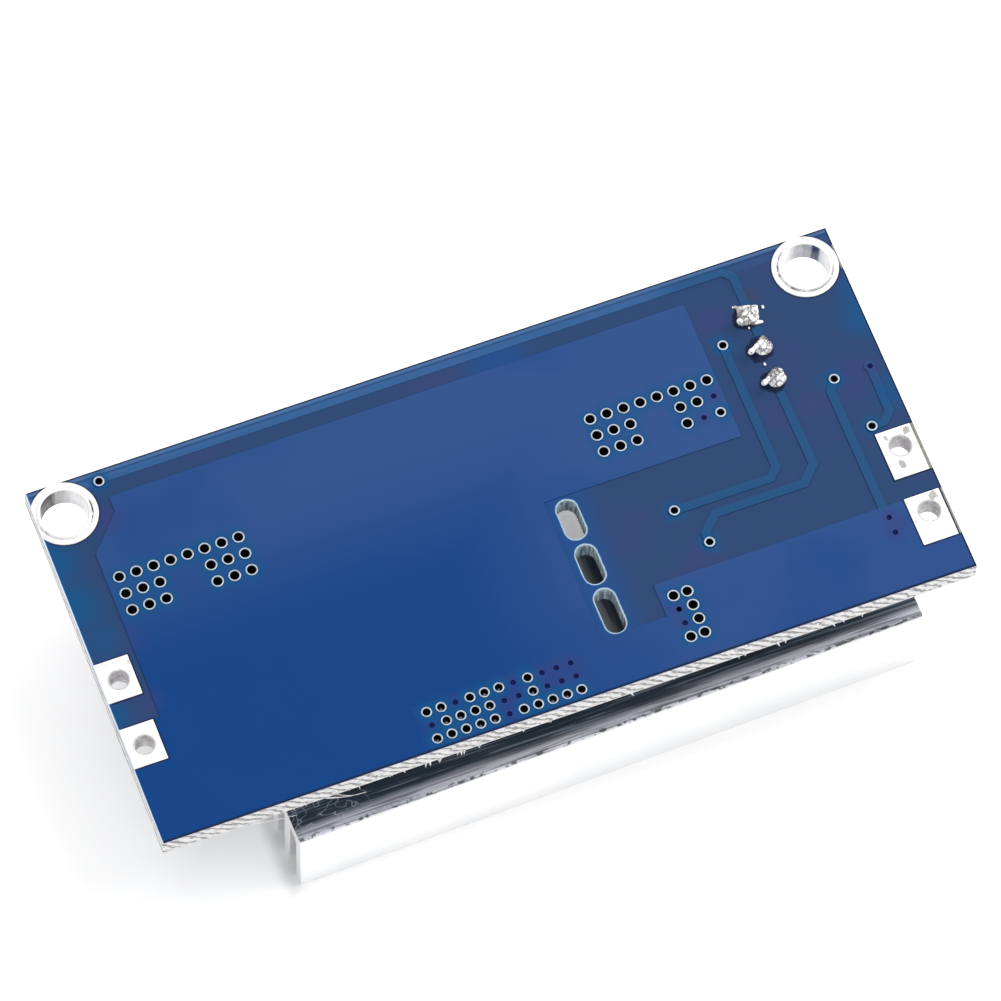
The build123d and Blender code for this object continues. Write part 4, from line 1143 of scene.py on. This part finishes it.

# the floor's glow is lowered near and under the module, further round the fins and to nothing deep under the
# board, which paints their shadow; lengths in millimetres
studio = {"worldStrength": 0.8, "floorGlow": 0.36, "shadeGlow": 0.24, "dimInside": -7, "dimOutside": 0.5,
          "contact": 1.3, "contactGlow": 0.2, "darkFrom": -12.5, "darkTo": -9.5, "floorSize": 1600}
lampShape = {"place": (0.29, 0.02, 0.42), "towards": (0, 0, 0.01), "size": 0.4, "watts": 1.3}


def floorMaterial():
    paint = Paint("whiteFloor", Roughness=0.9, Specular_IOR_Level=0.2, Emission_Color=(1, 1, 1, 1))
    seen = (paint.ray("Camera") + paint.ray("Glossy") + paint.ray("Transmission")).clamp()
    fromBoard = paint.fromBox(boardLow, boardHigh)
    fromFins = paint.fromBox(*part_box("heat_sink"))
    away = fromBoard.step(studio["dimInside"] * mm, studio["dimOutside"] * mm)
    contact = studio["contactGlow"]
    # painted shadow: the glow falls off deep under the board and round the fins
    clear = fromBoard.step(studio["darkFrom"] * mm, studio["darkTo"] * mm)
    clear = clear * (contact + (1 - contact) * fromFins.step(0, studio["contact"] * mm))
    glow = studio["shadeGlow"] + (studio["floorGlow"] - studio["shadeGlow"]) * away
    return paint.finish(Base_Color=(0.93, 0.93, 0.93), Emission_Strength=seen * clear * glow)


def placeFloor():
    deselect()
    bpy.ops.mesh.primitive_plane_add(size=studio["floorSize"] * mm, location=(0, 0, 0))
    floor = settle(bpy.context.object, "floorSheet")
    floor.data.materials.append(floorMaterial())


def placeWorld():
    # white where the camera or a reflection sees it, and a little dimmer as a light
    paint = Paint("studioWorld", kept=bpy.data.worlds, shader="Background", Color=(1, 1, 1, 1))
    bpy.context.scene.world = paint.material
    seen = paint.maths("MAXIMUM", paint.ray("Camera"), paint.ray("Glossy"))
    level = studio["worldStrength"]
    paint.finish(Strength=level + (1 - level) * seen)


def placeLamp():
    data = bpy.data.lights.new("keyLamp", "AREA")
    data.size = lampShape["size"]
    data.energy = lampShape["watts"]
    lamp = bpy.data.objects.new("keyLamp", data)
    bpy.context.scene.collection.objects.link(lamp)
    lamp.location = lampShape["place"]
    aim = Vector(lampShape["towards"]) - Vector(lampShape["place"])
    lamp.rotation_euler = aim.to_track_quat("-Z", "Y").to_euler()


# angles in degrees, distance, shifts and sensor in millimetres, focal length and width in pixels
view = {"focal": 7871.5, "tilt": 64.33, "yaw": 23.13, "roll": -2.46, "distance": 523.41, "shiftX": 0.0689,
        "shiftY": -1.953, "pictureWidth": 1001, "sensor": 36}


def placeCamera():
    tilt, yaw, roll = (radians(view[key]) for key in ("tilt", "yaw", "roll"))
    right = Vector((1, 0, 0))
    up = Vector((0, sin(tilt), cos(tilt)))
    back = Vector((0, -cos(tilt), sin(tilt)))
    place = back * view["distance"] - right * view["shiftX"] - up * view["shiftY"]
    rolledRight = right * cos(roll) - up * sin(roll)
    rolledUp = right * sin(roll) + up * cos(roll)
    toBoard = Matrix.Rotation(-yaw, 3, "Z")
    camera = bpy.data.objects.new("photoCamera", bpy.data.cameras.new("photoCamera"))
    bpy.context.scene.collection.objects.link(camera)
    turn = Matrix([toBoard @ rolledRight, toBoard @ rolledUp, toBoard @ back]).transposed().to_4x4()
    camera.matrix_world = Matrix.Translation(toBoard @ (place * mm) + Vector((0, 0, boardTop))) @ turn
    camera.data.sensor_width = view["sensor"]
    camera.data.lens = view["focal"] / view["pictureWidth"] * view["sensor"]
    camera.data.clip_start = 0.01
    camera.data.clip_end = 10
    bpy.context.scene.camera = camera


placeFloor()
placeWorld()
placeLamp()
placeCamera()
bpy.context.scene.view_settings.view_transform = "Standard"
deselect()
print("stage set")
